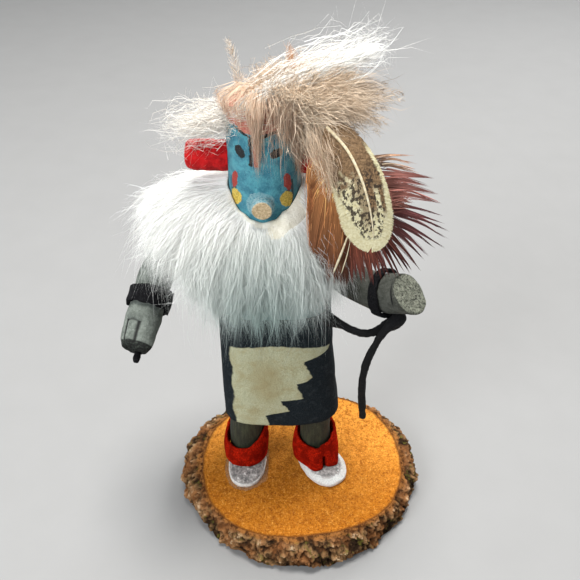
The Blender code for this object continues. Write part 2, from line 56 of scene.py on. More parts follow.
CAMERA_PLACE = (3.267, -144.61, 196.403)
CAMERA_ANGLES = (38.545, -2.6437, 0.117)  # down, towards the right, and about its own line
LENS, SENSOR = 43.34, 36.0
CLIP_START, CLIP_END = 0.01, 20.0  # metres
FLOOR_SIDES, FLOOR_RADIUS, FLOOR_HEIGHT = 96, 3000.0, -0.05
FLOOR_TONES = ((0.25, 0.25, 0.248), (0.27, 0.27, 0.268))
WORLD_COLOUR, WORLD_STRENGTH = (0.90, 0.95, 1.0, 1.0), 0.38
SOFTBOXES = (  # name, place, target and width in metres, watts, colour
    ("key", (0.02, 0.04, 0.82), (0, 0, 0.06), 0.34, 11.0, (1.0, 0.98, 0.95)),
    ("fill", (-0.45, -0.50, 0.50), (0, 0, 0.08), 0.40, 5.2, (0.96, 0.98, 1.0)),
    ("back", (0.35, 0.50, 0.45), (0, 0, 0.10), 0.30, 2.5, (1.0, 1.0, 1.0)),
)


def link(name, data):
    obj = bpy.data.objects.new(name, data)
    bpy.context.scene.collection.objects.link(obj)
    return obj


def add_camera():
    """A camera a little above the doll's head that looks down at it."""
    data = bpy.data.cameras.new("camera")
    data.lens, data.sensor_width = LENS, SENSOR
    data.clip_start, data.clip_end = CLIP_START, CLIP_END
    pitch, yaw, roll = [radians(angle) for angle in CAMERA_ANGLES]
    ahead = Vector((sin(yaw) * cos(pitch), cos(yaw) * cos(pitch), -sin(pitch)))
    level = Vector((cos(yaw), -sin(yaw), 0.0))
    above = level.cross(ahead)
    right = cos(roll) * level + sin(roll) * above
    up = cos(roll) * above - sin(roll) * level
    camera = link("camera", data)
    camera.matrix_world = (Matrix.Translation(Vector(CAMERA_PLACE) * MM)
                           @ Matrix((right, up, -ahead)).transposed().to_4x4())
    bpy.context.scene.camera = camera


def add_softbox(name, place, target, size, watts, colour):
    data = bpy.data.lights.new(name, "AREA")
    data.shape, data.size = "DISK", size
    data.energy, data.color = watts, colour
    light = link(name, data)
    light.location = place
    away = Vector(place) - Vector(target)
    light.rotation_euler = away.to_track_quat("Z", "Y").to_euler()


def add_studio():
    """A pale floor, a pale world and three soft lights."""
    scene = bpy.context.scene
    scene.view_settings.view_transform = "Standard"
    look = Look("floor", roughness=0.95, Specular_IOR_Level=0.1)
    grit = look.noise(0.05, 4.0, 0.55)
    look.finish(look.mix(grit, *FLOOR_TONES))
    edge = oval(FLOOR_HEIGHT, 0.0, 0.0, FLOOR_RADIUS, FLOOR_RADIUS, 2.0, FLOOR_SIDES)
    floor = add_mesh("floor", edge, [tuple(range(FLOOR_SIDES))])
    floor.data.materials.append(look.material)
    world = bpy.data.worlds.new("studio")
    scene.world = world
    world.use_nodes = True
    back = world.node_tree.nodes["Background"]
    back.inputs["Color"].default_value = WORLD_COLOUR
    back.inputs["Strength"].default_value = WORLD_STRENGTH
    for softbox in SOFTBOXES:
        add_softbox(*softbox)


# ---------------------------------------------------------------- materials

class Look:
    """One procedural material, built a node at a time. Colours are linear."""

    def __init__(self, name, roughness=0.8, **sockets):
        self.material = bpy.data.materials.new(name)
        self.material.use_nodes = True
        self.tree = self.material.node_tree
        self.tree.nodes.clear()
        self.places = {}
        self.shader = self.node("BsdfPrincipled")
        self.node("OutputMaterial", self.shader.outputs[0])
        self.put_all(self.shader, Roughness=roughness, **sockets)

    def node(self, kind, *values, **settings):
        """A node with settings, and with values or links for its first inputs."""
        node = self.tree.nodes.new("ShaderNode" + kind)
        for key, value in settings.items():
            setattr(node, key, value)
        for socket, value in zip(node.inputs, values):
            self.put(socket, value)
        return node

    def put(self, socket, value):
        if value is None:
            return
        if isinstance(value, bpy.types.NodeSocket):
            self.tree.links.new(value, socket)
        elif isinstance(value, tuple) and socket.type == "RGBA":
            socket.default_value = (*value, 1.0)
        else:
            socket.default_value = value

    def put_all(self, node, **values):
        for name, value in values.items():
            self.put(node.inputs[name.replace("_", " ")], value)
        return node.outputs[0]

    def place(self, stretch=(1.0, 1.0, 1.0)):
        """The surface's own place in millimetres, made once for each stretch."""
        if stretch not in self.places:
            where = self.node("TexCoord").outputs["Object"]
            scale = tuple(s / MM for s in stretch)
            scaled = self.node("VectorMath", where, scale, operation="MULTIPLY")
            self.places[stretch] = scaled.outputs[0]
        return self.places[stretch]

    def mark(self, name, kind="Fac"):
        """A number, or with Color a colour, that the mesh holds at each point."""
        return self.node("Attribute", attribute_name=name).outputs[kind]

    def noise(self, scale, detail, rough, distortion=0.0, stretch=(1.0, 1.0, 1.0)):
        """Noise from 0 to 1, of that many waves per millimetre."""
        return self.put_all(self.node("TexNoise"), Vector=self.place(stretch), Scale=scale,
                            Detail=detail, Roughness=rough, Distortion=distortion)

    def noises(self, *kinds):
        return [self.noise(*kind) for kind in kinds]

    def swing(self, *kind, **stretch):
        """Noise from -0.5 to 0.5."""
        return self.less(self.noise(*kind, **stretch), 0.5)

    def math(self, operation, value, *others):
        """The operation on one value, or on two, or on that result and the next."""
        if not others:
            return self.node("Math", value, operation=operation).outputs[0]
        for other in others:
            value = self.node("Math", value, other, operation=operation).outputs[0]
        return value

    def add(self, *values):
        return self.math("ADD", *values)

    def less(self, a, b):
        return self.math("SUBTRACT", a, b)

    def times(self, *values):
        return self.math("MULTIPLY", *values)

    def most(self, *values):
        return self.math("MAXIMUM", *values)

    def rise(self, value, low, high):
        """0 below low and 1 above high, smoothly. With low over high it falls instead."""
        ends = (0.0, 1.0) if low < high else (1.0, 0.0)
        return self.node("MapRange", value, min(low, high), max(low, high), *ends,
                         interpolation_type="SMOOTHSTEP").outputs[0]

    def mix(self, share, a, b):
        node = self.node("Mix", data_type="RGBA")
        self.put(node.inputs[0], share)
        self.put(node.inputs[6], a)
        self.put(node.inputs[7], b)
        return node.outputs[2]

    def ramp(self, value, low, high, a, b):
        """Colour a where the value is below low, turning to b where it is above high."""
        return self.mix(self.rise(value, low, high), a, b)

    def paint(self, colour, *coats):
        """Coats over a colour: (value, low, high, share, colour) covers where the value rises."""
        for value, low, high, share, coat in coats:
            colour = self.mix(self.times(self.rise(value, low, high), share), colour, coat)
        return colour

    def curve(self, value, points):
        """A line through (value, result) points, all from 0 to 1."""
        node = self.node("FloatCurve")
        self.put(node.inputs["Value"], value)
        line = node.mapping.curves[0]
        while len(line.points) < len(points):
            line.points.new(0.5, 0.5)
        for point, where in zip(line.points, sorted(points)):
            point.location = where
            point.handle_type = "VECTOR"
        node.mapping.update()
        return node.outputs[0]

    def finish(self, colour, *reliefs, rough=None):
        """The material. Each relief is (height, depth in millimetres), from the top down."""
        normal = None
        for height, depth in reversed(reliefs):
            normal = self.put_all(self.node("Bump"), Strength=1.0, Distance=depth * MM,
                                  Height=height, Normal=normal)
        self.put_all(self.shader, Base_Color=colour, Normal=normal, Roughness=rough)
        return self.material


def strand_look(name, roughness=0.65):
    """Hair or down in the colours that its mesh holds."""
    look = Look(name, roughness=roughness, Specular_IOR_Level=0.25)
    return look.finish(look.mark("tint", "Color"))


# ---------------------------------------------------------------- meshes

def add_mesh(name, points, faces):
    mesh = bpy.data.meshes.new(name)
    mesh.from_pydata((np.asarray(points, float).reshape(-1, 3) * MM).tolist(), [], faces)
    mesh.shade_smooth()
    return link(name, mesh)


def add_piece(name, points, faces, material, slot, node=None, marks=None, tint=None, bake=None):
    """A piece of the doll: it rides on the part's body and stands for its CAD node.

    marks are numbers at each point, tint is a colour at each point, and bake is each point's
    place in the map named OFBake.
    """
    obj = add_mesh(name, points, faces)
    obj.data.materials.append(material)
    for key, values in (marks or {}).items():
        layer = obj.data.attributes.new(key, "FLOAT", "POINT")
        layer.data.foreach_set("value", np.asarray(values, np.float32).ravel())
    if tint is not None:
        layer = obj.data.attributes.new("tint", "FLOAT_COLOR", "POINT")
        layer.data.foreach_set("color", np.insert(tint, 3, 1.0, 1).astype(np.float32).ravel())
    if bake is not None:
        corners = np.empty(len(obj.data.loops), np.int32)
        obj.data.loops.foreach_get("vertex_index", corners)
        layer = obj.data.uv_layers.new(name="OFBake")
        layer.data.foreach_set("uv", bake[corners].astype(np.float32).ravel())
    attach(obj, BODY)
    if node:
        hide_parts(node)
    return obj


def grid_faces(rows, sides):
    """Quads between closed rings of points."""
    low = np.arange(rows - 1)[:, None] * sides
    this = np.arange(sides)[None, :]
    following = (this + 1) % sides
    quads = np.stack([low + this, low + following, low + sides + following,
                      low + sides + this], -1)
    return quads.reshape(-1, 4).tolist()


def loft(rings, open_start=False):
    """Faces of a closed tube through rings of points, (rings, sides, 3)."""
    rows, sides = np.shape(rings)[:2]
    faces = grid_faces(rows, sides)
    if not open_start:
        faces.append(list(range(sides))[::-1])
    faces.append(list(range((rows - 1) * sides, rows * sides)))
    return faces


def closed_sheet(outer, thickness):
    """Points and faces of a closed sheet: its outer rings, and the same moved inward."""
    along = np.roll(outer, -1, axis=1) - np.roll(outer, 1, axis=1)
    inner = outer - unit(np.cross(along, np.gradient(outer, axis=0))) * thickness
    bulge = [0, 0, thickness * 0.25]
    low_edge = (outer[0] + inner[0]) / 2 - bulge
    high_edge = (outer[-1] + inner[-1]) / 2 + bulge
    rings = np.concatenate([outer, high_edge[None], inner[::-1], low_edge[None]])
    rows, sides = rings.shape[:2]
    faces = np.array(grid_faces(rows + 1, sides)) % (rows * sides)
    return rings, faces.tolist()


def ring_length(ring):
    return float(np.linalg.norm(np.diff(ring, axis=0, append=ring[:1]), axis=1).sum())


def between(keys, place, column=1):
    """Read a table's column at places between its first column's values, smoothly."""
    keys = np.asarray(keys, float)
    place = np.asarray(place, float)
    i = np.clip(np.searchsorted(keys[:, 0], place, side="right") - 1, 0, len(keys) - 2)
    t = np.clip((place - keys[i, 0]) / (keys[i + 1, 0] - keys[i, 0]), 0.0, 1.0)
    t = t * t * (3 - 2 * t)
    return keys[i, column] + (keys[i + 1, column] - keys[i, column]) * t


def all_between(keys, place):
    """Read every column of a table but its first, smoothly."""
    return [between(keys, place, column) for column in range(1, len(keys[0]))]


def spline(points, count):
    """A smooth curve through the points, as count + 1 evenly spaced parameters."""
    pts = np.asarray(points, float)
    pts = np.vstack([2 * pts[0] - pts[1], pts, 2 * pts[-1] - pts[-2]])
    place = np.linspace(0.0, len(pts) - 3, count + 1)
    i = np.minimum(place.astype(int), len(pts) - 4)
    t = (place - i)[:, None]
    a, b, c, d = pts[i], pts[i + 1], pts[i + 2], pts[i + 3]
    return 0.5 * (2 * b + (c - a) * t + (2 * a - 5 * b + 4 * c - d) * t * t
                  + (3 * b - a - 3 * c + d) * t ** 3)


def unit(vectors):
    return vectors / np.maximum(np.linalg.norm(vectors, axis=-1, keepdims=True), 1e-9)


def outward(points, x=0.0, y=0.0):
    """Level unit vectors at the points, away from an upright line."""
    return unit((points - [x, y, 0.0]) * (1.0, 1.0, 0.0))


def swollen(points, amount, x=0.0, y=0.0):
    """Points moved away from an upright line."""
    return points + outward(points, x, y) * amount[..., None]


def hump(value, middle, width):
    """1 where a value is at the middle, falling smoothly to 0 at both sides."""
    return np.exp(-((value - middle) / width) ** 2)


def shade(first, last, share):
    """Colours between two, for shares of any shape."""
    first, last = np.asarray(first), np.asarray(last)
    return first + (last - first) * np.clip(share, 0.0, 1.0)[..., None]


def azimuth_round(points, x, y):
    return np.degrees(np.arctan2(points[..., 0] - x, y - points[..., 1]))


def tube_rings(path, radii, sides):
    """Rings of a tube along a path, with a radius at each point."""
    path = np.asarray(path, float)
    ahead = unit(np.gradient(path, axis=0))
    side = np.array(Vector(ahead[0]).orthogonal())
    angles = np.arange(sides) * TAU / sides
    rings = []
    for centre, way, radius in zip(path, ahead, radii):
        side = unit(side - way * side.dot(way))
        other = np.cross(way, side)
        rings.append(centre + radius * (np.outer(np.cos(angles), side)
                                        + np.outer(np.sin(angles), other)))
    return np.array(rings)


def oval(height, x, y, half_width, half_depth, power, sides, turn=0.0):
    """A rounded-box outline at one height: power 2 is an ellipse, and more is squarer."""
    angle = np.arange(sides) * TAU / sides
    c, s = np.cos(angle), np.sin(angle)
    size = (np.abs(c) ** power + np.abs(s) ** power) ** (-1.0 / power)
    u, v, t = half_width * size * c, half_depth * size * s, radians(turn)
    return np.stack([x + u * cos(t) - v * sin(t), y + u * sin(t) + v * cos(t),
                     np.full(sides, height)], 1)


def relief(points, scale, octaves, seed):
    """Fractal noise, about -1 to 1, at each point. Scale is in waves per millimetre."""
    shift = Vector((seed, seed * 1.7, seed * 0.3))
    values = [noise.fractal(Vector(p) * scale + shift, 0.9, 2.1, octaves)
              for p in points.reshape(-1, 3)]
    return np.array(values).reshape(points.shape[:-1])


def add_strands(name, paths, widths, tint, material, slot, node=None, lay=None, marks=None,
                taper=0.36):
    """Fine hairs or barbs: ribbons along paths (strands, points, 3) that end in a point."""
    count, steps = paths.shape[:2]
    ahead = unit(np.gradient(paths, axis=1))
    if lay is None:
        lay = RANDOM.normal(size=(count, 1, 3))
    side = unit(np.cross(ahead, lay))
    t = np.linspace(0.0, 1.0, steps)
    half = widths[:, None] * (0.5 - taper * t ** 1.5)[None, :]
    left = paths - side * half[..., None]
    right = paths + side * half[..., None]
    size = 2 * (steps - 1) + 1
    starts = (np.arange(count) * size)[:, None]
    quads = [starts + np.array([[2 * k, 2 * k + 1, 2 * k + 3, 2 * k + 2]])
             for k in range(steps - 2)]
    tips = starts + np.array([[size - 3, size - 2, size - 1]])
    marks = {key: in_pairs(values[..., None], values[..., None])
             for key, values in (marks or {}).items()}
    if tint is not None:
        tint = in_pairs(tint, tint).reshape(-1, 3)
    return add_piece(name, in_pairs(left, right, paths),
                     np.concatenate(quads).tolist() + tips.tolist(), material, slot, node,
                     marks=marks, tint=tint, bake=strand_map(count, steps))


def in_pairs(left, right, tips=None):
    """Values for a ribbon's points: left and right at each step, then one at its tip."""
    pairs = np.stack([left, right], 2)[:, :-1].reshape(len(left), -1, left.shape[-1])
    return np.concatenate([pairs, (left if tips is None else tips)[:, -1:]], 1)


def strand_map(count, steps):
    """A map in which every strand has a small upright cell of its own."""
    wide = int(np.ceil(np.sqrt(count * 2)))
    high = int(np.ceil(count / wide))
    column, row = np.arange(count) % wide, np.arange(count) // wide
    v = (row[:, None] + 0.1 + 0.8 * np.linspace(0.0, 1.0, steps)[None, :]) / high
    left = (column[:, None] + 0.15 + 0 * v) / wide
    right = (column[:, None] + 0.85 + 0 * v) / wide
    middle = np.stack([(left + right) / 2, v], -1)
    return in_pairs(np.stack([left, v], -1), np.stack([right, v], -1), middle).reshape(-1, 2)


# ---------------------------------------------------------------- the thong

THONG_WIDTH, THONG_ROWS, THONG_SIDES = 2.0, 180, 20
THONG_ROUTE = (
    (6.6, -8.0, 78.4), (8.6, -9.4, 78.6), (10.8, -10.7, 78.5), (13.4, -11.4, 77.6),
    (16.4, -11.6, 76.9), (19.4, -10.9, 77.3), (22.4, -9.9, 78.6), (24.8, -9.9, 80.4),
    (24.8, -11.0, 82.0), (22.8, -12.2, 81.2), (20.5, -12.8, 78.0), (18.9, -12.8, 73.8),
    (17.5, -12.6, 68.6), (16.8, -12.2, 63.0), (16.8, -11.8, 56.5), (17.3, -11.4, 50.0),
    (17.8, -11.0, 44.8),
)
THONG_SWELLS = ((0.85, 0.0, 0.07), (0.80, 0.40, 0.06), (0.85, 0.525, 0.045))  # size, place, width


def leather_look():
    look = Look("black_leather", roughness=0.75, Specular_IOR_Level=0.2)
    nap = look.noise(3.2, 5.0, 0.7)
    cracks = look.put_all(look.node("TexVoronoi", feature="DISTANCE_TO_EDGE"),
                          Vector=look.place(), Scale=1.1)
    colour = look.ramp(nap, 0.45, 0.75, (0.003, 0.003, 0.004), (0.013, 0.013, 0.013))
    colour = look.ramp(cracks, 0.10, 0.0, colour, (0.003, 0.003, 0.003))
    return look.finish(colour, (nap, 0.35), (cracks, 0.25))


def add_thong():
    """One strip of leather from the belt, up under the right fist, and down to a bare end."""
    path = spline(THONG_ROUTE, THONG_ROWS)
    t = np.linspace(0.0, 1.0, len(path))
    radii = 1.0 + 0.14 * relief(path, 0.22, 3, 4.0)
    for size, place, width in THONG_SWELLS:
        radii += size * hump(t, place, width)
    rings = tube_rings(path, THONG_WIDTH / 2 * radii, THONG_SIDES)
    rings += unit(rings - path[:, None]) * (0.16 * relief(rings, 0.9, 4, 2.0))[..., None]
    obj = add_piece("leather_thong", rings, loft(rings), leather_look(), "black_leather",
                    "hand_thong")
    [tuple(p) for p in path * MM]


# ---------------------------------------------------------------- the slice of branch

WOOD_HALF = (32.4, 28.2)
BARK_HALF = (38.0, 33.6)
SLICE_HEIGHT, SLICE_UNDERSIDE = 10.0, 0.03
BARK_LEVELS = (  # place along the bark's profile, height, place from wood's edge (0) to face (1)
    (0.00, 10.0, 0.00), (0.10, 9.9, 0.10), (0.22, 9.3, 0.32), (0.36, 8.3, 0.66),
    (0.50, 6.4, 0.93), (0.66, 4.0, 1.00), (0.84, 1.6, 0.93), (0.95, 0.25, 0.74),
    (1.00, 0.02, 0.60),
)
BARK_SIDES, BARK_ROWS = 640, 52
WOOD_SIDES, WOOD_ROWS = 240, 39
WOOD_REACH = 28.0  # where the wood's back mark is 1, and at the front -1
EDGE_ROUGH, FACE_ROUGH = 0.12, 0.6


def slice_ring(sides, height, place, rough):
    """The slice's outline at a height; place is 0 at the wood's edge and 1 at the bark's face."""
    angle = np.arange(sides) * TAU / sides
    lumps = (0.55 * np.sin(13 * angle + 0.35 * height)
             + 0.45 * np.sin(19 * angle - 0.8 * height + 1)
             + 0.4 * np.sin(29 * angle + 1.7 * height)) * rough
    wood_wave = 0.7 + 0.6 * np.cos(angle) + 0.9 * np.sin(2 * angle) - 0.8 * np.cos(4 * angle - 0.7)
    bark_wave = -0.4 + 1.1 * np.cos(2 * angle - 0.3) + 1.3 * np.sin(3 * angle - 0.25)
    x, y = [wood + wood_wave * (1 - place) + (bark + bark_wave - wood) * place + lumps
            for wood, bark in zip(WOOD_HALF, BARK_HALF)]
    return np.stack([x * np.cos(angle), y * np.sin(angle), np.full(sides, height)], -1)


def wood_look():
    """Sanded end grain, tinted orange, with painted shade that darkens it towards the front, brown
    flecks, and a dark line of painted shade at its rim.
    """
    look = Look("orange_end_grain", roughness=0.8, Specular_IOR_Level=0.12)
    broad, blotch, grain = look.noises((0.075, 3.0, 0.6, 0.5), (0.42, 4.0, 0.7),
                                       (1.25, 4.0, 0.75))
    pores = look.noise(2.8, 3.0, 0.7, stretch=(1.0, 1.0, 0.3))
    # painted shade: the orange darkens towards the front as the back mark falls
    back = look.add(look.mark("back"), look.times(broad, 0.8))
    colour = look.paint(
        look.ramp(back, -0.25, 1.15, (0.48, 0.155, 0.0080), (0.70, 0.275, 0.036)),
        (blotch, 0.48, 0.66, 0.70, (0.34, 0.100, 0.005)),
        (grain, 0.50, 0.64, 0.75, (0.25, 0.066, 0.004)),
        (pores, 0.55, 0.66, 0.85, (0.10, 0.026, 0.003)),
        (grain, 0.44, 0.34, 0.55, (0.86, 0.43, 0.075)),
        (pores, 0.44, 0.34, 0.45, (0.88, 0.47, 0.11)),
        # painted shade: a dark line along the rim, next to the bark
        (look.mark("rim"), 0.965, 1.0, 0.85, (0.12, 0.038, 0.010)))
    return look.finish(colour, (pores, 0.3), (grain, 0.45))


def bark_look():
    """Rough bark: brown plates, clefts dark partly in their own colour and partly with painted
    shade, rusty bast inside, green and pale specks.
    """
    look = Look("rough_bark", roughness=0.95, Specular_IOR_Level=0.1)
    height = look.mark("height")
    broad, middle, fine = look.noises((0.14, 3.0, 0.6), (0.55, 4.0, 0.7), (1.5, 5.0, 0.75))
    face = look.paint(
        # dark where the bark lies low in its clefts: partly its own colour, partly painted shade
        look.ramp(height, -0.75, 0.45, (0.030, 0.015, 0.007), (0.34, 0.185, 0.080)),
        (broad, 0.44, 0.62, 0.5, (0.40, 0.155, 0.050)),
        (height, 0.15, 0.95, look.rise(fine, 0.42, 0.60), (0.66, 0.50, 0.32)),
        (middle, 0.46, 0.36, 0.75, (0.030, 0.016, 0.008)),
        (fine, 0.45, 0.34, 0.8, (0.012, 0.006, 0.004)),
        (middle, 0.54, 0.62, look.times(look.rise(broad, 0.52, 0.44), 0.65), (0.16, 0.15, 0.025)))
    bast = look.paint(
        look.ramp(middle, 0.40, 0.60, (0.090, 0.032, 0.009), (0.38, 0.155, 0.040)),
        (fine, 0.46, 0.36, 0.7, (0.020, 0.008, 0.004)))
    return look.finish(look.ramp(look.mark("inner"), 0.42, 0.14, face, bast), (fine, 0.9))


def add_bark():
    height, place = all_between(BARK_LEVELS, np.linspace(0.0, 1.0, BARK_ROWS))
    skin = np.array([slice_ring(BARK_SIDES, h, p, EDGE_ROUGH + FACE_ROUGH * p)
                     for h, p in zip(height, place)])
    plates = relief(skin * (1.0, 1.0, 0.6), 0.24, 5, 3.0)
    fine = relief(skin * (1.0, 1.0, 0.8), 0.80, 4, 9.0)
    clefts = np.maximum(1.0 - 3.0 * np.abs(relief(skin * (1.0, 1.0, 0.45), 0.42, 3, 5.0)), 0.0)
    rough = (np.minimum(1.0, 2.6 * place + 0.08) * np.where(height < 0.3, 0.1, 1.0))[:, None]
    points = swollen(skin, (plates + 0.60 * fine - 0.75 * clefts + 0.05) * rough)
    points[..., 2] += (0.55 * relief(skin, 0.45, 4, 1.0) + 0.25 * fine) * rough
    points[..., 2] = np.clip(points[..., 2], 0.0, SLICE_HEIGHT + 0.5)
    add_piece("branch_bark", points, grid_faces(BARK_ROWS, BARK_SIDES), bark_look(), "bark_wood",
              "base_slice", marks={"height": plates + 0.7 * fine - 0.9 * clefts,
                                   "inner": np.repeat(place, BARK_SIDES)})


def add_wood():
    """The sanded face from its middle to its rim, then the underside back to the middle."""
    reach = np.linspace(0.0, 1.0, WOOD_ROWS + 1)[1:] ** 0.8
    height = np.full(WOOD_ROWS, SLICE_HEIGHT)
    height[-1] -= 0.10
    under = reach[::-6]
    reach = np.append(reach, under)
    height = np.append(height, np.full(len(under), SLICE_UNDERSIDE))
    edge = slice_ring(WOOD_SIDES, SLICE_HEIGHT, 0.0, EDGE_ROUGH)[:, :2]
    disc = np.array([np.insert(edge * r, 2, h, 1) for r, h in zip(reach, height)])
    disc[..., 2] += 0.10 * relief(disc, 0.5, 3, 6.0) * (disc[..., 2] > 5)
    points = np.concatenate([disc.reshape(-1, 3), [[0, 0, SLICE_HEIGHT], [0, 0, SLICE_UNDERSIDE]]])
    faces = grid_faces(len(disc), WOOD_SIDES)
    middle = len(points) - 2
    last = middle - WOOD_SIDES
    for i in range(WOOD_SIDES):
        j = (i + 1) % WOOD_SIDES
        faces += [[j, i, middle], [last + i, last + j, middle + 1]]
    add_piece("branch_wood", points, faces, wood_look(), "bark_wood", "base_slice",
              marks={"rim": np.append(np.repeat(reach, WOOD_SIDES), [0.0, 0.0]),
                     "back": points[:, 1] / WOOD_REACH})


# ---------------------------------------------------------------- the carving

CARVED_LEVELS = (  # height, centre x, centre y, half width, half depth
    (40.0, -6.1, 2.3, 15.3, 9.5), (58.0, -6.9, 2.1, 14.5, 9.2), (74.0, -7.6, 1.9, 13.7, 8.9),
    (80.0, -7.9, 1.7, 13.0, 8.6), (91.0, -8.6, 1.3, 14.2, 8.8), (98.0, -9.0, 1.0, 14.0, 8.4),
    (101.6, -9.2, 0.8, 12.0, 7.6), (104.2, -9.4, 0.5, 8.0, 6.6),
)
TORSO_ROWS, TORSO_SIDES, TORSO_POWER, TORSO_TURN = 40, 96, 2.7, 2.0
FOOT_BASE = 10.3
LEGS = {  # ankle, hip, radius, foot centre, half length, half width, turn outward in degrees
    "left": ((-17.6, 0.9), (-16.0, 1.3), 5.2, (-16.9, -3.0), 9.0, 5.9, -3.0),
    "right": ((4.9, 1.4), (4.0, 1.4), 4.8, (7.2, -1.9), 9.2, 6.6, 35.0),
}
LEG_START, LEG_LENGTH = FOOT_BASE + 1.0, 35.0
LEG_ROWS, LEG_SIDES = 36, 56
FOOT_LEVELS = (  # place, rise, size
    (0.0, 0.0, 0.94), (0.08, 0.25, 0.99), (0.3, 0.9, 1.0), (0.5, 1.5, 0.985), (0.58, 1.7, 0.95),
    (0.75, 2.45, 0.84), (0.9, 2.95, 0.66), (1.0, 3.2, 0.5),
)
FOOT_ROWS, FOOT_SIDES, FOOT_POWER = 26, 96, 2.3
SOLE_RISE = {"left": 0.0, "right": 0.95}  # how much higher the white of the sole reaches


def torso_look():
    """Thin pale turquoise paint, rubbed and streaked."""
    look = Look("turquoise_paint", roughness=0.8)
    streak = look.noise(0.9, 4.0, 0.6, stretch=(1.0, 1.0, 0.2))
    speck = look.noise(2.4, 3.0, 0.6)
    colour = look.paint(look.ramp(streak, 0.3, 0.7, (0.13, 0.27, 0.27), (0.28, 0.45, 0.44)),
                        (speck, 0.6, 0.7, 0.5, (0.08, 0.14, 0.14)))
    return look.finish(colour, (speck, 0.12))


def leg_look():
    """Dark grey-green paint over carved wood, with brush strokes up the leg."""
    look = Look("dark_leg_paint", roughness=0.72)
    stroke = look.noise(1.2, 4.0, 0.65, stretch=(1.0, 1.0, 0.16))
    speck = look.noise(2.8, 3.0, 0.6)
    colour = look.paint(
        look.ramp(stroke, 0.35, 0.68, (0.011, 0.0125, 0.005), (0.033, 0.037, 0.016)),
        (speck, 0.58, 0.70, 0.5, (0.080, 0.082, 0.044)))
    return look.finish(colour, (stroke, 0.25), (speck, 0.15))


def moccasin_look():
    """A silver-grey upper over a thickly painted white sole."""
    look = Look("moccasin_paint", roughness=0.45)
    rough, speck = look.noises((0.8, 4.0, 0.65), (2.6, 3.0, 0.6))
    line = look.add(look.mark("rise"), look.times(look.less(rough, 0.5), 1.4))
    white = look.paint(look.ramp(speck, 0.35, 0.65, (0.66, 0.67, 0.64), (0.93, 0.93, 0.90)),
                       (speck, 0.60, 0.70, 0.5, (0.34, 0.33, 0.32)))
    grey = look.paint(look.ramp(rough, 0.35, 0.65, (0.15, 0.14, 0.135), (0.52, 0.48, 0.45)),
                      (rough, 0.56, 0.62, 0.7, (0.85, 0.82, 0.80)),
                      (speck, 0.60, 0.68, 0.8, (0.035, 0.035, 0.036)))
    return look.finish(look.ramp(line, 1.45, 1.75, white, grey), (rough, 0.8), (speck, 0.35))


def add_torso():
    table = np.array(CARVED_LEVELS)
    rings = []
    for height in np.linspace(table[0, 0], table[-1, 0], TORSO_ROWS):
        row = [np.interp(height, table[:, 0], column) for column in table.T[1:]]
        rings.append(oval(height, *row, TORSO_POWER, TORSO_SIDES, TORSO_TURN))
    add_piece("carved_torso", rings, loft(rings), torso_look(), "painted_root", "doll_body")


def add_legs():
    legs, moccasins = leg_look(), moccasin_look()
    for side, (ankle, hip, radius, centre, length, width, turn) in LEGS.items():
        rings = []
        for t in np.linspace(0.0, 1.0, LEG_ROWS):
            x, y = [a + (b - a) * t for a, b in zip(ankle, hip)]
            rings.append(oval(LEG_START + LEG_LENGTH * t, x, y, radius, radius, 2.0, LEG_SIDES))
        rings = np.array(rings)
        rings = swollen(rings, 0.22 * relief(rings * (1, 1, 0.4), 0.28, 3, 2.0), *ankle)
        add_piece("leg_" + side, rings, loft(rings), legs, "painted_root", "doll_body")
        rise, size = all_between(FOOT_LEVELS, np.linspace(0.0, 1.0, FOOT_ROWS))
        rings = np.array([oval(FOOT_BASE + r, *centre, width * s, length * s, FOOT_POWER,
                               FOOT_SIDES, turn) for r, s in zip(rise, size)])
        bumps = 0.16 * relief(rings, 0.45, 4, 8.0)
        bumps[0] = 0.0
        rings = swollen(rings, bumps, *centre)
        add_piece("moccasin_" + side, rings, loft(rings), moccasins, "painted_root", "doll_body",
                  marks={"rise": np.repeat(rise - SOLE_RISE[side], FOOT_SIDES)})


# ---------------------------------------------------------------- suede

INSET = 0.05  # how far inside its solid a sheet's outer side is laid, before its folds
SUEDE_THICKNESS = 0.85
KILT_LEVELS = (  # height, centre x, centre y, half width, half depth
    (37.0, -6.1, 2.3, 17.1, 11.3), (50.0, -6.7, 2.2, 16.6, 11.1),
    (64.0, -7.3, 2.0, 15.8, 10.8), (77.0, -7.7, 1.9, 15.3, 10.6),
)
KILT_HEM, KILT_TOP, KILT_HEIGHT = 37.15, 76.9, 39.9
KILT_ROWS, KILT_SIDES, KILT_POWER, KILT_TURN = 50, 220, 3.2, 4.0
KILT_MIDDLE, KILT_THICKNESS = (-6.9, 2.1), 1.1
FRONT_REACH = 150.0  # degrees to each side, past which only the waist band is painted
DIP_PACE, DEEPEST_DIP = 0.0006, 4.0  # how much lower the band is at the sides and back
KILT_STEPS = (  # height on the kilt, and the azimuth where the black steps begin
    (37.0, -13.0), (39.6, -16.0), (41.6, -18.0), (42.5, 3.0), (43.0, 17.0), (46.2, 7.0),
    (47.3, 4.0), (47.7, 24.0), (48.2, 36.0), (52.6, 29.0), (54.0, 27.5), (54.8, 40.0),
    (56.2, 47.0), (60.8, 40.5), (62.4, 39.5), (63.2, 52.0), (64.4, 66.0), (67.0, 74.0),
    (77.0, 76.0),
)
STEP_LOW, STEP_SPAN = 40.0, 160.0  # the steps' azimuths lie from -low to span - low
CUFF_SIDES, CUFF_ROWS = 130, 24
CUFFS = {  # bottom, front top, rise at the back and at the right, bottom half sizes, top radius
    "left": (13.75, 21.4, 6.0, 2.2, (7.1, 7.6), 6.8),
    "right": (13.75, 22.2, 4.6, 0.3, (7.4, 8.0), 6.3),
}
SEAMS = {  # azimuth and depth of a cuff's seam, share of its height that gapes, flare beside it
    "left": (150.0, 0.55, 1.0, 0.0),
    "right": (25.0, 1.2, 0.52, 0.9),
}


def suede_nap(look, scale=4.0):
    """The short nap of suede: fine, and brushed in patches."""
    return look.noises((scale, 4.0, 0.75), (scale / 8.0, 3.0, 0.6))


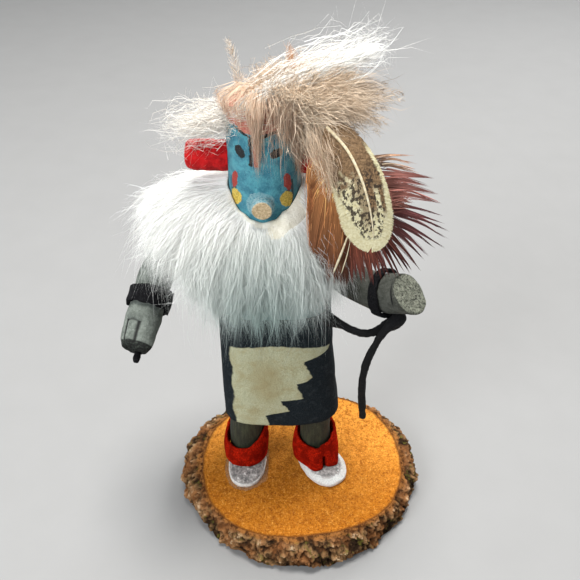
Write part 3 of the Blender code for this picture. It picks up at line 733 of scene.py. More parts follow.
def kilt_look():
    """Undyed suede with dirt, painted with a black waist band, a side stripe and steps."""
    look = Look("painted_kilt", roughness=0.95, Specular_IOR_Level=0.1)
    azimuth, height, front = look.mark("azimuth"), look.mark("level"), look.mark("front")
    fine, patch = suede_nap(look)
    dirt, fleck = look.noises((0.13, 5.0, 0.72, 0.25), (1.1, 3.0, 0.7))
    over = look.times(look.add(azimuth, 12.0), 1.0 / 24.0)
    up = look.times(look.add(height, -55.0), 1.0 / 10.0)
    stain = look.add(look.times(over, over), look.times(up, up), look.times(dirt, 1.6))
    cream = look.paint(
        look.ramp(fine, 0.3, 0.7, (0.33, 0.33, 0.208), (0.58, 0.575, 0.385)),
        (dirt, 0.42, 0.68, 0.6, (0.32, 0.245, 0.105)),
        (fleck, 0.60, 0.70, 0.45, (0.24, 0.19, 0.095)),
        (stain, 2.0, 0.8, look.times(front, 0.50), (0.33, 0.26, 0.120)))
    black = look.paint(
        look.ramp(fine, 0.4, 0.75, (0.006, 0.0092, 0.0115), (0.030, 0.038, 0.044)),
        (patch, 0.52, 0.70, 0.5, (0.035, 0.042, 0.046)))
    wobble = look.swing(0.75, 3.0, 0.6)
    low, tall = KILT_STEPS[0][0], KILT_STEPS[-1][0] - KILT_STEPS[0][0]
    above = look.less(look.add(height, look.times(wobble, 0.8)), low)
    share = look.node("Math", above, tall, operation="DIVIDE", use_clamp=True).outputs[0]
    begins = look.curve(share, [((h - low) / tall, (a + STEP_LOW) / STEP_SPAN)
                                for h, a in KILT_STEPS])
    begins = look.less(look.times(begins, STEP_SPAN), STEP_LOW)
    past = look.less(look.add(azimuth, look.times(wobble, 5.0)), begins)
    steps = look.times(look.rise(past, -1.0, 1.2), look.rise(azimuth, 128.0, 124.0), front)
    wave = look.times(look.math("SINE", look.times(height, 0.62)), 1.3)
    edge = look.add(azimuth, wave, look.times(wobble, 3.5))
    stripe = look.times(look.rise(edge, -50.5, -53.0), look.rise(edge, -112.0, -108.0), front)
    band = look.rise(look.add(height, look.mark("dip"), look.times(wobble, 0.9)), 68.2, 68.7)
    colour = look.mix(look.most(steps, stripe, band), cream, black)
    return look.finish(colour, (fine, 0.16), (patch, 0.4))


def add_kilt():
    """The wrapped kilt. Its paint's dip and front marks keep the back plain and seamless."""
    outer = []
    for height in np.linspace(KILT_HEM, KILT_TOP, KILT_ROWS):
        x, y, half_width, half_depth = all_between(KILT_LEVELS, height)
        outer.append(oval(height, x, y, half_width - INSET, half_depth - INSET, KILT_POWER,
                          KILT_SIDES, KILT_TURN))
    outer = np.array(outer)
    low = (KILT_LEVELS[-1][0] - outer[..., 2]) / 40.0
    folds = 0.30 * relief(outer * (1, 1, 0.5), 0.09, 3, 3.0) * (0.3 + low)
    outer = swollen(outer, folds, *KILT_MIDDLE)
    outer[..., 2] += 0.35 * relief(outer * (1, 1, 0), 0.12, 2, 7.0) * (low > 0.9)
    points, faces = closed_sheet(outer, KILT_THICKNESS)
    x, y = all_between(KILT_LEVELS, points[..., 2])[:2]
    azimuth = azimuth_round(points, x, y)
    marks = {
        "azimuth": azimuth,
        "level": points[..., 2],
        "front": np.abs(azimuth) < FRONT_REACH,
        "dip": np.minimum(DIP_PACE * azimuth ** 2, DEEPEST_DIP),
    }
    obj = add_piece("suede_kilt", points, faces, kilt_look(), "kilt_suede", "kilt", marks=marks)
    ring_length(outer[25]) * MM


def red_suede_look():
    look = Look("red_suede", roughness=0.95, Specular_IOR_Level=0.02)
    fine, patch = suede_nap(look, 3.0)
    colour = look.paint(
        look.ramp(fine, 0.34, 0.66, (0.16, 0.0034, 0.0010), (0.80, 0.026, 0.007)),
        (patch, 0.45, 0.58, 0.75, (0.21, 0.006, 0.002)),
        (look.mark("seam"), 0.1, 0.9, 0.92, (0.016, 0.001, 0.001)))
    return look.finish(colour, (fine, 0.7), (patch, 0.9))


def cuff_rings(side):
    """A cuff's outer rings before its folds: narrower upward, and higher at the back."""
    bottom, front_top, rise_back, rise_right, half, top_radius = CUFFS[side]
    ankle, hip, turn = LEGS[side][0], LEGS[side][1], LEGS[side][-1]
    rings = []
    for t in np.linspace(0.0, 1.0, CUFF_ROWS):
        x, y = [a + (b - a) * 0.2 * t for a, b in zip(ankle, hip)]
        bulge = 0.35 * sin(pi * t) - INSET
        wide, deep = [a + (top_radius - a) * t ** 0.7 + bulge for a in half]
        ring = oval(bottom + INSET, x, y, wide, deep, 2.0, CUFF_SIDES, turn)
        top = (front_top - 2 * INSET + rise_back * (0.5 + 0.5 * (ring[:, 1] - y) / deep)
               + rise_right * (ring[:, 0] - x) / wide)
        ring[:, 2] += (top - bottom - 2 * INSET) * t
        rings.append(ring)
    return np.array(rings)


def seam_gap(side, points, share):
    """Degrees from a cuff's seam, and how open the seam is at that share of the height."""
    seam, _, gapes, _ = SEAMS[side]
    off = azimuth_round(points, *LEGS[side][0]) - seam
    gap = np.clip((gapes - share) / 0.12 + 0.5, 0.12, 1.0)
    return np.abs((off + 180.0) % 360.0 - 180.0), gap


def add_cuffs():
    look = red_suede_look()
    share = np.linspace(0.0, 1.0, CUFF_ROWS)[:, None]
    for side, (bottom, front_top, rise_back, *_) in CUFFS.items():
        _, depth, _, flare = SEAMS[side]
        outer = cuff_rings(side)
        off, gap = seam_gap(side, outer, share)
        lumps = (0.34 * relief(outer, 0.24, 3, 5.0) + flare * hump(off, 26.0, 14.0) * (1 - share)
                 - depth * hump(off, 0.0, 5.0) * gap)
        outer = swollen(outer, lumps, *LEGS[side][0])
        ragged = share ** 3 + 0.4 * (1 - share) ** 6
        outer[..., 2] += 0.45 * relief(outer, 0.35, 3, 2.0) * ragged
        points, faces = closed_sheet(outer, SUEDE_THICKNESS)
        off, gap = seam_gap(side, points, (points[..., 2] - bottom) / (front_top - bottom))
        obj = add_piece("cuff_" + side, points, faces, look, "red_suede", "boot_cuff_" + side,
                        marks={"seam": hump(off, 0.0, 4.0) * gap})
        around, tall = ring_length(outer[10]), front_top + rise_back - bottom


# ---------------------------------------------------------------- arms

ARMS = {  # points of the arm's middle line, each with its radius
    "left": (((-22.0, 2.5, 96.5), 5.2), ((-37.0, 1.5, 86.5), 4.8), ((-39.9, -5.5, 80.4), 4.4),
             ((-41.0, -10.0, 77.6), 4.7), ((-42.2, -17.0, 73.6), 4.0)),
    "right": (((3.6, 2.0, 93.6), 4.8), ((11.2, 0.4, 86.0), 4.7), ((18.6, -5.3, 85.7), 4.7),
              ((21.8, -7.6, 87.1), 5.0), ((26.4, -10.6, 89.4), 5.0)),
}
ARM_ENDS = {  # way the grooves face, slope of the cut end, where its wear starts, its depth
    "left": ((-0.35, -0.75, 0.55), -0.08, 0.93, 0.9),
    "right": ((-0.1, -1.0, 0.35), -0.55, 0.985, 0.5),
}
ARM_SIDES, ARM_ROWS, SLOPED_ROWS, END_ROWS = 84, 120, 20, 14
BANDS = {"left": slice(50, 71), "right": slice(70, 91)}  # the arm's rows that a band covers


def arm_path(side, count=ARM_ROWS):
    keys = ARMS[side]
    path = spline([key[0] for key in keys], count)
    radii = np.interp(np.linspace(0, len(keys) - 1, count + 1), range(len(keys)),
                      [key[1] for key in keys])
    return path, radii


def grey_look(name, light, dark, grain, holes):
    """Thin matt grey paint over wood, darkened to near black by painted shade in the carved
    grooves.
    The cut end is rough, with dark holes and grain that is pale on the right fist and near black,
    as painted shade, on the left.
    """
    look = Look(name, roughness=0.8, Specular_IOR_Level=0.25)
    stroke, speck, coarse = look.noises((0.5, 4.0, 0.65, 0.3), (2.2, 4.0, 0.7), (1.6, 4.0, 0.7))
    colour = look.paint(look.ramp(stroke, 0.35, 0.65, dark, light),
                        (speck, 0.56, 0.66, 0.35, tuple(2.0 * c for c in light)),
                        (coarse, 0.44, 0.36, 0.5, tuple(0.5 * c for c in dark)),
                        # painted shade: near black in the carved grooves and the recess
                        (look.mark("cut"), 0.15, 0.8, 1.0, (0.006, 0.006, 0.006)))
    end = look.paint(look.ramp(speck, 0.40, 0.60, *grain),
                     (coarse, holes + 0.05, holes - 0.05, 1.0, (0.010, 0.011, 0.010)))
    colour = look.ramp(look.mark("end"), 0.4, 0.6, colour, end)
    return look.finish(colour, (speck, 0.35), (look.times(look.mark("end"), coarse), 0.8))


def fist_grooves(side, azimuth, along):
    """How deep the carved grooves are and how dark their painted shade, from 0 to 1: azimuth round
    the arm, along from 0 to 1.
    """
    if side == "right":
        return hump(along, 0.905, 0.011) * np.clip(1.5 - np.abs(azimuth + 18.0) / 34.0, 0.0, 1.0)
    near = np.abs(azimuth)
    line = hump(azimuth, 21.0, 5.0) * (along > 0.795)
    # a soft recess, dented and darkened with painted shade
    shaded_recess = 0.75 * hump(azimuth, -25.0, 9.0) * (along > 0.80)
    arch = 0.6 * hump(along - 0.018 * (near / 21.0) ** 2, 0.795, 0.014) * (near < 25.0)
    return np.maximum(np.maximum(line, shaded_recess), arch)


def add_arm(side, look):
    facing, slope, worn, depth = ARM_ENDS[side]
    path, radii = arm_path(side)
    rings = tube_rings(path, radii, ARM_SIDES)
    ahead = unit(path[-1] - path[-2])
    for k in range(SLOPED_ROWS):
        lean = (rings[-1 - k] - path[-1 - k])[:, 2:] * slope * (1.0 - k / SLOPED_ROWS) ** 3
        rings[-1 - k] += ahead * lean
    along = np.linspace(0.0, 1.0, len(path))[:, None]
    tangent = unit(np.gradient(path, axis=0))
    front = unit(facing - tangent * (tangent @ facing)[:, None])
    off = rings - path[:, None]
    azimuth = np.degrees(np.arctan2((off * np.cross(tangent, front)[:, None]).sum(-1),
                                    (off * front[:, None]).sum(-1)))
    cut = fist_grooves(side, azimuth, along)
    end = np.clip((along - worn) / (1.0 - worn), 0.0, 1.0)
    edge = end ** 2 * depth * (1.0 + 0.8 * relief(rings, 0.35, 2, 9.0))
    wear = 0.16 * relief(rings, 0.3, 3, 4.0)
    rings += unit(off) * (wear - 0.55 * cut - edge)[..., None]
    middle = rings[-1].mean(0)
    caps = middle + (rings[-1] - middle) * np.linspace(0.92, 0.04, END_ROWS)[:, None, None]
    caps += ahead * (0.10 + 0.40 * relief(caps, 0.55, 4, 3.0))[..., None]
    flat = np.ones(caps.shape[:2])
    end = np.clip(end * 1.3, 0.0, 1.0) * np.ones(ARM_SIDES)
    rings = np.concatenate([rings, caps])
    add_piece("carved_arm_" + side, rings, loft(rings), look, "grey_paint", "arm_" + side,
              marks={"cut": np.concatenate([cut, 0 * flat]), "end": np.concatenate([end, flat])})


def add_arms():
    # the left fist's end and worn rim take near-black grain colours: painted shade
    add_arm("left", grey_look("grey_paint", (0.155, 0.175, 0.155), (0.090, 0.103, 0.090),
                              ((0.006, 0.008, 0.006), (0.040, 0.048, 0.040)), 0.50))
    add_arm("right", grey_look("dark_grey_paint", (0.076, 0.079, 0.067), (0.041, 0.043, 0.035),
                               ((0.092, 0.098, 0.074), (0.26, 0.27, 0.21)), 0.42))


def black_suede_look():
    look = Look("black_suede", roughness=0.97, Specular_IOR_Level=0.1)
    fine, patch = suede_nap(look, 3.4)
    colour = look.paint(
        look.ramp(fine, 0.40, 0.78, (0.003, 0.003, 0.004), (0.030, 0.030, 0.032)),
        (patch, 0.5, 0.7, 0.4, (0.014, 0.014, 0.016)))
    return look.finish(colour, (fine, 0.6), (patch, 0.5))


def add_bands(look):
    """Suede round each wrist."""
    for side, rows in BANDS.items():
        path, radii = arm_path(side)
        rings = tube_rings(path, radii + 1.15, ARM_SIDES)[rows]
        way = unit(np.gradient(path, axis=0))[rows, None]
        path, radii = path[rows], radii[rows]
        t = np.linspace(-1.0, 1.0, len(path))[:, None]
        swell = 0.18 * (1 - t ** 2) + 0.20 * relief(rings, 0.35, 3, 6.0)
        drift = 0.35 * t * relief(rings, 0.4, 2, 1.0)
        rings += unit(rings - path[:, None]) * swell[..., None] + way * drift[..., None]
        points, faces = closed_sheet(rings, SUEDE_THICKNESS)
        obj = add_piece("suede_band_" + side, points, faces, look, "black_suede",
                        "wrist_band_" + side)
        tall = float(np.linalg.norm(np.diff(path, axis=0), axis=1).sum())


def add_stub(look):
    """The broken stub in the left fist's underside."""
    path, _ = arm_path("left", 12)
    ahead = unit(path[-1] - path[-2])
    start = path[-1] + ahead * 0.5 + np.array([0.6, 0.0, -1.4])
    steps = np.linspace(-0.9, 1.9, 14)
    radii = 0.90 * np.interp(steps, [0, 0.8, 1.6, 1.9], [1.0, 1.05, 0.8, 0.4])
    rings = tube_rings(start + np.outer(steps, ahead), radii, 28)
    rings += (rings - start - ahead) * (0.14 * relief(rings, 1.1, 4, 3.0))[..., None]
    add_piece("broken_stub", rings, loft(rings), look, "black_suede", "held_stub")


# ---------------------------------------------------------------- head

MASK_CENTRE = (-9.4, 0.0)
MASK_RADIUS = 8.6
MASK_LEVELS = (104.5, 134.0)
MASK_ROUND = 2.4  # radius of its upper edge
MASK_ROWS, ROUND_ROWS, MASK_SIDES = 44, 12, 140
MASK_TOP = (5.0, 3.5, 2.0, 0.6)  # radii of the rings on its flat top
MASK_MARKS = (  # place round the mask, height, half sizes, tilt of an oval or None, share, paint
    (-4.6, 129.9, 2.6, 0.36, -24.0, 1.0, "black"), (2.4, 129.9, 2.6, 0.36, 24.0, 1.0, "black"),
    (-1.1, 125.2, 0.55, 3.3, None, 1.0, "red"), (-2.25, 125.6, 0.42, 3.6, None, 1.0, "black"),
    (-5.1, 125.0, 1.6, 1.3, -40.0, 1.0, "black"), (3.5, 125.1, 1.6, 1.05, 22.0, 1.0, "black"),
    (9.4, 121.0, 0.55, 2.2, 0.0, 1.0, "black"), (-11.5, 121.0, 0.55, 2.2, 0.0, 1.0, "black"),
    (-8.8, 114.4, 0.40, 3.2, None, 0.45, "black"), (-7.5, 115.0, 1.1, 0.45, 30.0, 0.8, "black"),
    (-7.3, 117.3, 1.05, 2.4, -16.0, 1.0, "red"), (-7.1, 112.9, 1.75, 2.2, -28.0, 1.0, "yellow"),
    (7.8, 114.4, 0.40, 3.2, None, 0.85, "black"), (6.5, 115.0, 1.1, 0.45, 30.0, 0.8, "black"),
    (6.3, 117.3, 1.05, 2.4, 16.0, 1.0, "red"), (6.1, 112.9, 1.75, 2.2, 28.0, 1.0, "yellow"),
)
SNOUT_HEIGHT, SNOUT_RADIUS, SNOUT_TURN = 112.2, 2.45, radians(0.5)
EAR_HEIGHT, EAR_RADIUS, EAR_LENGTH = 120.0, 3.7, 10.0
EAR_SHAPE = ((0.0, 0.94), (0.14, 0.96), (0.5, 1.0), (0.84, 0.955), (0.93, 0.90),
             (0.98, 0.80), (1.0, 0.70))  # place along it, share of its radius


class MaskPaint:
    """Shapes painted on the mask. u is millimetres round it from the front, v is height."""

    def __init__(self, look):
        self.look = look
        wobble = look.swing(0.9, 3.0, 0.6)
        other = look.swing(0.8, 3.0, 0.6, stretch=(1.0, 1.0, -1.0))
        self.u = look.add(look.mark("round"), look.times(wobble, 1.3))
        self.v = look.add(look.mark("level"), look.times(other, 1.3))

    def oval(self, u, v, half_u, half_v, tilt=0.0, soft=0.12):
        look = self.look
        du, dv = look.less(self.u, u), look.less(self.v, v)
        a, b = cos(radians(tilt)), sin(radians(tilt))
        along = look.add(look.times(du, a / half_u), look.times(dv, b / half_u))
        across = look.add(look.times(dv, a / half_v), look.times(du, -b / half_v))
        size = look.add(look.times(along, along), look.times(across, across))
        return look.rise(size, 1.0 + soft, 1.0 - soft)

    def box(self, u, v, half_u, half_v, soft=0.15):
        look = self.look
        du = look.math("ABSOLUTE", look.less(self.u, u))
        dv = look.math("ABSOLUTE", look.less(self.v, v))
        return look.times(look.rise(du, half_u + soft, half_u - soft),
                          look.rise(dv, half_v + soft, half_v - soft))


def mask_look():
    """Brushed blue paint with black eyes, a black and red stripe, a rose brow and cheek marks."""
    look = Look("mask_paint", roughness=0.62)
    fine, broad = look.noises((2.6, 4.0, 0.7), (0.45, 3.0, 0.6))
    blue = look.paint(
        look.ramp(broad, 0.35, 0.65, (0.030, 0.185, 0.256), (0.078, 0.330, 0.398)),
        (fine, 0.54, 0.68, 0.55, (0.17, 0.42, 0.50)), (fine, 0.44, 0.32, 0.6, (0.006, 0.075, 0.15)))
    rose = look.ramp(fine, 0.35, 0.65, (0.42, 0.085, 0.060), (0.62, 0.25, 0.18))
    paints = {
        "red": look.ramp(fine, 0.35, 0.65, (0.28, 0.018, 0.014), (0.46, 0.06, 0.04)),
        "yellow": look.ramp(fine, 0.35, 0.65, (0.42, 0.27, 0.020), (0.80, 0.60, 0.12)),
        "black": look.ramp(fine, 0.45, 0.75, (0.003, 0.004, 0.005), (0.02, 0.03, 0.035)),
    }
    shapes = MaskPaint(look)
    brow = look.most(shapes.box(-0.4, 132.4, 4.9, 2.7), shapes.box(-0.4, 136.2, 30.0, 5.2))
    colour = look.mix(brow, blue, rose)
    for *place, tilt, share, paint in MASK_MARKS:
        cover = shapes.box(*place) if tilt is None else shapes.oval(*place, tilt)
        colour = look.mix(look.times(cover, share), colour, paints[paint])
    ring = look.times(shapes.oval(-0.4, 112.2, 3.4, 3.4), look.rise(fine, 0.35, 0.55))
    colour = look.mix(look.times(ring, 0.65), colour, (0.34, 0.50, 0.52))
    return look.finish(colour, (fine, 0.22), (broad, 0.3),
                       rough=look.add(look.times(fine, 0.25), 0.5))


def add_mask():
    low, top = MASK_LEVELS
    profile = [(MASK_RADIUS - 0.02, h) for h in np.linspace(low, top - MASK_ROUND, MASK_ROWS)]
    for angle in np.linspace(0.0, pi / 2, ROUND_ROWS)[1:]:
        profile.append((MASK_RADIUS - MASK_ROUND * (1 - cos(angle)),
                        top - MASK_ROUND * (1 - sin(angle))))
    profile += [(radius, top) for radius in MASK_TOP]
    rings = np.array([oval(h, *MASK_CENTRE, r, r, 2.0, MASK_SIDES) for r, h in profile])
    rings = swollen(rings, 0.09 * relief(rings, 0.25, 3, 2.0) - 0.04, *MASK_CENTRE)
    round_front = np.radians(azimuth_round(rings, *MASK_CENTRE)) * MASK_RADIUS
    add_piece("case_mask", rings, loft(rings), mask_look(), "mask_paint", "head_mask",
              marks={"round": round_front, "level": rings[..., 2]})


def snout_look():
    """Bare tan end grain, with the mask's pale blue paint round its side."""
    look = Look("snout_root", roughness=0.8)
    fine = look.noise(2.4, 4.0, 0.75)
    tan = look.ramp(fine, 0.32, 0.68, (0.42, 0.29, 0.15), (0.74, 0.58, 0.36))
    side = look.ramp(fine, 0.35, 0.65, (0.05, 0.24, 0.31), (0.38, 0.50, 0.50))
    return look.finish(look.mix(look.mark("end"), side, tan), (fine, 0.3))


def ear_look():
    look = Look("red_ear_paint", roughness=0.75, Specular_IOR_Level=0.2)
    fine, broad = look.noises((2.3, 4.0, 0.7), (0.5, 3.0, 0.6))
    colour = look.paint(
        look.ramp(broad, 0.35, 0.65, (0.36, 0.0030, 0.0045), (0.62, 0.0085, 0.010)),
        # painted highlight: lighter red specks
        (fine, 0.56, 0.68, 0.45, (0.60, 0.035, 0.032)),
        (fine, 0.42, 0.30, 0.6, (0.17, 0.004, 0.006)))
    return look.finish(colour, (fine, 0.25), (broad, 0.3))


def add_peg(name, start, ahead, reaches, radii, sides, rough, seed, look, slot, node):
    """A carved peg with a slightly uneven side and a flat, rough end."""
    path = np.array(start) + np.outer(reaches, ahead)
    rings = tube_rings(path, radii, sides)
    rings += unit(rings - path[:, None]) * (rough * relief(rings, 0.4, 4, seed))[..., None]
    middle, end = path[-1], rings[-1]
    caps = [middle + (end - middle) * s
            + np.array(ahead) * (0.08 * relief(end * s, 0.8, 3, seed))[:, None]
            for s in (0.9, 0.7, 0.5, 0.3, 0.1)]
    rings = np.concatenate([rings, caps])
    at_end = np.arange(len(rings)) >= len(path) - 1
    add_piece(name, rings, loft(rings, open_start=True), look, slot, node,
              marks={"end": np.repeat(at_end, sides)})


def add_head_pegs():
    x, y = MASK_CENTRE
    root = MASK_RADIUS - 0.4
    reaches = np.linspace(root, MASK_RADIUS + 2.4, 14)
    radii = SNOUT_RADIUS - 0.28 * np.clip((reaches - reaches[-1] + 0.5) / 0.5, 0, 1) ** 2
    add_peg("snout_peg", (x, y, SNOUT_HEIGHT), (sin(SNOUT_TURN), -cos(SNOUT_TURN), 0.0), reaches,
            radii, 56, 0.10, 3.0, snout_look(), "bare_root", "snout")
    reaches = np.linspace(root, root + EAR_LENGTH, 44)
    radii = EAR_RADIUS * np.interp((reaches - root) / EAR_LENGTH, *zip(*EAR_SHAPE))
    look = ear_look()
    for side, way in (("left", -1.0), ("right", 1.0)):
        add_peg("ear_peg_" + side, (x, y + 0.6, EAR_HEIGHT), (way, 0.0, 0.0), reaches, radii, 72,
                0.20, 5.0, look, "red_paint", "ear_" + side)


# ---------------------------------------------------------------- fur collar

FUR_KEYS = (  # azimuth, reach, hem height, collar height, drop
    (0.0, 16.5, 80.0, 108.0, 1.5), (40.0, 19.0, 80.5, 109.5, 1.6), (85.0, 19.5, 84.5, 113.0, 1.5),
    (130.0, 20.0, 85.0, 113.0, 1.5), (180.0, 17.5, 84.0, 112.0, 1.5),
    (225.0, 22.0, 88.0, 111.0, 1.7), (262.0, 31.5, 95.5, 110.0, 2.0),
    (284.0, 29.0, 90.0, 109.5, 2.0), (310.0, 22.0, 82.0, 108.5, 1.8),
    (335.0, 18.5, 79.5, 108.0, 1.6), (360.0, 16.5, 80.0, 108.0, 1.5),
)
HIDE_EDGE = (  # azimuth and height of the hide's upper edge
    (0.0, 107.8), (18.0, 108.4), (34.0, 110.2), (77.0, 114.0), (120.0, 114.5), (180.0, 114.0),
    (240.0, 114.0), (290.0, 113.6), (328.0, 109.6), (345.0, 108.3), (360.0, 107.8),
)
FUR_CENTRE = (MASK_CENTRE[0], MASK_CENTRE[1] + 0.5)
FUR_START = MASK_RADIUS + 1.6
HIDE_REACH = MASK_RADIUS + 0.25
HIDE_DEPTH = 0.62  # how far out the hide lies, between the fur's inner side (0) and outer (1)
HIDE_END = 0.62  # how far down the hide reaches, from the neck (0) to the fur's hem (1)
HIDE_SIDES, HIDE_ROWS, HIDE_THICKNESS = 160, 24, 0.6
LOCK_WIDTH, LOCK_PHASE = 15.0, 93.0  # degrees that a lock of the hem takes, and where one begins
HAIRS, HAIR_STEPS, LOCKS = 48500, 6, 760
HAIR_WIDTHS = (0.045, 0.095)
LONG_SHARE, LOOSE_SHARE = 0.018, 0.38  # of the hairs: past the hem, and straying
FUR_WHITE, FUR_SHADE = (0.91, 0.91, 0.875), (0.31, 0.40, 0.375)
FUR_PIECES = {"fur_left": (300.0, 400.0), "fur_front": (40.0, 140.0), "fur_back": (140.0, 300.0)}


def fur_skin(azimuth, step, depth):
    """Points on the fur's outer side (depth 1) or further in: step 0 is the neck, 1 the hem."""
    azimuth = np.mod(azimuth, 360.0)
    reach, hem, top, drop = all_between(FUR_KEYS, azimuth)
    inner = FUR_START + (reach - FUR_START) * 0.25 + 3.0
    outer = inner + (reach - inner) * depth
    wide = FUR_START + (outer - FUR_START) * np.sin(np.clip(step, 0, 1) * pi / 2) ** 0.9
    wide = wide + np.maximum(step - 1.0, 0.0) * 3.0
    height = top - (top - hem) * np.abs(step) ** drop
    angle = np.radians(azimuth - 90.0)
    return np.stack([FUR_CENTRE[0] + wide * np.cos(angle),
                     FUR_CENTRE[1] + wide * np.sin(angle), height], -1)


def hide_skin(azimuth, step):
    """Points on the hide: step 0 is its upper edge, close round the mask."""
    points = fur_skin(azimuth, step, HIDE_DEPTH)
    azimuth = np.mod(azimuth, 360.0)
    angle = np.radians(azimuth - 90.0)
    near = np.clip(1.0 - step / 0.35, 0.0, 1.0)
    gap = (FUR_START - HIDE_REACH) * near
    points[..., 0] -= gap * np.cos(angle)
    points[..., 1] -= gap * np.sin(angle) + 0.5 * near
    rise = between(HIDE_EDGE, azimuth) - between(FUR_KEYS, azimuth, 3)
    points[..., 2] += rise * np.clip(1.0 - step / 0.6, 0.0, 1.0)
    return points


def bare_hide(azimuth):
    """Where the fur is worn off the hide, from 0 to 1: beside the mask's right cheek."""
    off = np.abs(np.mod(azimuth - 33.0 + 180.0, 360.0) - 180.0)
    return np.clip((34.0 - off) / 12.0, 0.0, 1.0)


def lock_fall(azimuth):
    """How far the hem hangs in pointed locks, from 0 in the hollows to 1."""
    place = np.mod(azimuth - LOCK_PHASE, 360.0) / LOCK_WIDTH
    number = np.floor(place)
    crest = 1.0 - np.abs(2.0 * (place - number) - 1.0)
    return crest ** 1.3 * (0.66 + 0.34 * np.sin(2.3 * number + 0.7) * np.cos(1.1 * number))


def lock_side(azimuth):
    """Degrees from the middle of a hair's lock."""
    return np.mod(azimuth - LOCK_PHASE, LOCK_WIDTH) - LOCK_WIDTH / 2


def gather_locks(paths, pull):
    """Draw strands towards the middle of their lock: pull is 0 to leave a point, 1 for all."""
    x, y = (paths[..., :2] - FUR_CENTRE).transpose(2, 0, 1)
    turn = -np.radians(lock_side(np.degrees(np.arctan2(y, x)) + 90.0)) * pull
    gathered = paths.copy()
    gathered[..., 0] = FUR_CENTRE[0] + x * np.cos(turn) - y * np.sin(turn)
    gathered[..., 1] = FUR_CENTRE[1] + x * np.sin(turn) + y * np.cos(turn)
    return gathered


def hide_look():
    look = Look("white_hide", roughness=0.85, Specular_IOR_Level=0.25)
    fine, broad = look.noises((2.2, 4.0, 0.7), (0.25, 3.0, 0.6))
    colour = look.paint(look.ramp(broad, 0.35, 0.65, (0.66, 0.62, 0.50), (0.82, 0.79, 0.69)),
                        (fine, 0.56, 0.70, 0.35, (0.40, 0.35, 0.27)))
    return look.finish(colour, (fine, 0.3), (broad, 0.4))


def add_hide():
    """The strip of hide round the neck, which carries the fur."""
    azimuth = np.arange(HIDE_SIDES) * 360.0 / HIDE_SIDES
    outer = np.array([hide_skin(azimuth, np.full(HIDE_SIDES, step))
                      for step in np.linspace(HIDE_END, 0.0, HIDE_ROWS)])
    loose = np.minimum(1.0, 3.0 * np.linspace(1.0, 0.0, HIDE_ROWS))[:, None]
    outer = swollen(outer, 0.30 * relief(outer, 0.2, 3, 2.0) * loose, *MASK_CENTRE)
    points, faces = closed_sheet(outer, HIDE_THICKNESS)
    obj = add_piece("collar_hide", points, faces, hide_look(), "rabbit_fur", "fur_collar")
    ring_length(outer[12]) * MM


def wander(count, steps, size, waves):
    """Slow sideways drift along each strand, which grows from its root."""
    t = np.linspace(0.0, 1.0, steps)[None, :, None]
    drift = np.zeros((count, steps, 3))
    for k in (1.0, 2.3):
        phase = RANDOM.uniform(0, TAU, (count, 1, 3))
        pace = RANDOM.uniform(0.5, 1.5, (count, 1, 1)) * waves * k
        drift += RANDOM.normal(0, 1, (count, 1, 3)) / k * (np.sin(TAU * pace * t + phase)
                                                          - np.sin(phase))
    return drift * size * t


def fur_locks():
    """Each lock's azimuth, length, depth in the fur, turn towards its tip, and wave."""
    turn = np.linspace(0, 360, 721)
    weight = 1.0 + 0.9 * np.cos(np.radians(turn + 25.0)).clip(0)
    azimuth = np.interp(RANDOM.uniform(0, 1, LOCKS), np.cumsum(weight) / weight.sum(), turn)
    length = 1.03 - 0.38 * RANDOM.uniform(0, 1, LOCKS) ** 3.0
    depth = RANDOM.uniform(0.1, 1.0, LOCKS) ** 0.6
    twist = RANDOM.normal(0, 9.0, LOCKS)
    return azimuth, length, depth, twist, wander(LOCKS, HAIR_STEPS, 1.0, 0.9)


def hair_reach(root, tip, length):
    """Where each hair begins and ends from the neck (0) to the hem (1), and if it is long."""
    begin = 0.24 * RANDOM.uniform(0, 1, HAIRS) ** 2.2 + 0.45 * RANDOM.uniform(0, 1, HAIRS) ** 2.6
    begin += 0.07 * hump(np.mod(root + 180.0, 360.0), 175.0, 28.0)
    begin = np.where(bare_hide(root) > RANDOM.uniform(0, 1, HAIRS), 0.21 + 0.5 * begin, begin)
    hang = 0.865 + 0.135 * lock_fall(tip)
    end = np.minimum(length * RANDOM.normal(1.0, 0.045, HAIRS), 1.0) * hang
    long = RANDOM.uniform(0, 1, HAIRS) < LONG_SHARE
    end = np.where(long, RANDOM.uniform(0.98, 1.22, HAIRS), end)
    return begin, np.maximum(end, begin + 0.22), long


def hair_paths(azimuth, begin, end, long, depth, wave):
    """Hairs that leave the hide, fall inside the fur's skin, stray a little and form locks."""
    t = np.linspace(0.0, 1.0, HAIR_STEPS)
    step = begin[:, None] + (end - begin)[:, None] * t ** 1.15
    depths = 0.72 + (depth - 0.72)[:, None] * np.minimum(1.0, 0.25 + 1.4 * t)
    depths = np.maximum(depths, np.where(step < 0.66, 0.74, 0.0))
    depths[:, 0] = HIDE_DEPTH
    paths = (fur_skin(azimuth, step, depths) + hide_skin(azimuth, step)
             - fur_skin(azimuth, step, HIDE_DEPTH))
    paths += wave + wander(HAIRS, HAIR_STEPS, 0.70, 1.5)
    out = outward(paths, *FUR_CENTRE)
    fluff = np.abs(RANDOM.normal(0, 1.0, (HAIRS, 1, 1))) * (t ** 1.4)[:, None]
    paths += out * fluff * (depth[:, None, None] ** 2)
    loose = RANDOM.uniform(0, 1, HAIRS) < LOOSE_SHARE
    stray = RANDOM.normal(0, 2.1, (HAIRS, 1, 3)) + out * 1.5
    stray[:, :, 2] += 3.0 * (begin < 0.06)[:, None]
    paths += np.where(loose[:, None, None], stray * (t ** 1.6)[:, None], 0.0)
    left = hump(np.mod(azimuth[:, 0], 360.0), 275.0, 32.0) * RANDOM.uniform(0, 1, HAIRS) ** 3
    paths += out * (5.0 * left[:, None] * t ** 1.5)[..., None]
    pull = np.where(loose | long, 0.25, 0.80)[:, None]
    return gather_locks(paths, np.clip((t - 0.40) / 0.60, 0.0, 1.0) ** 1.3 * pull)


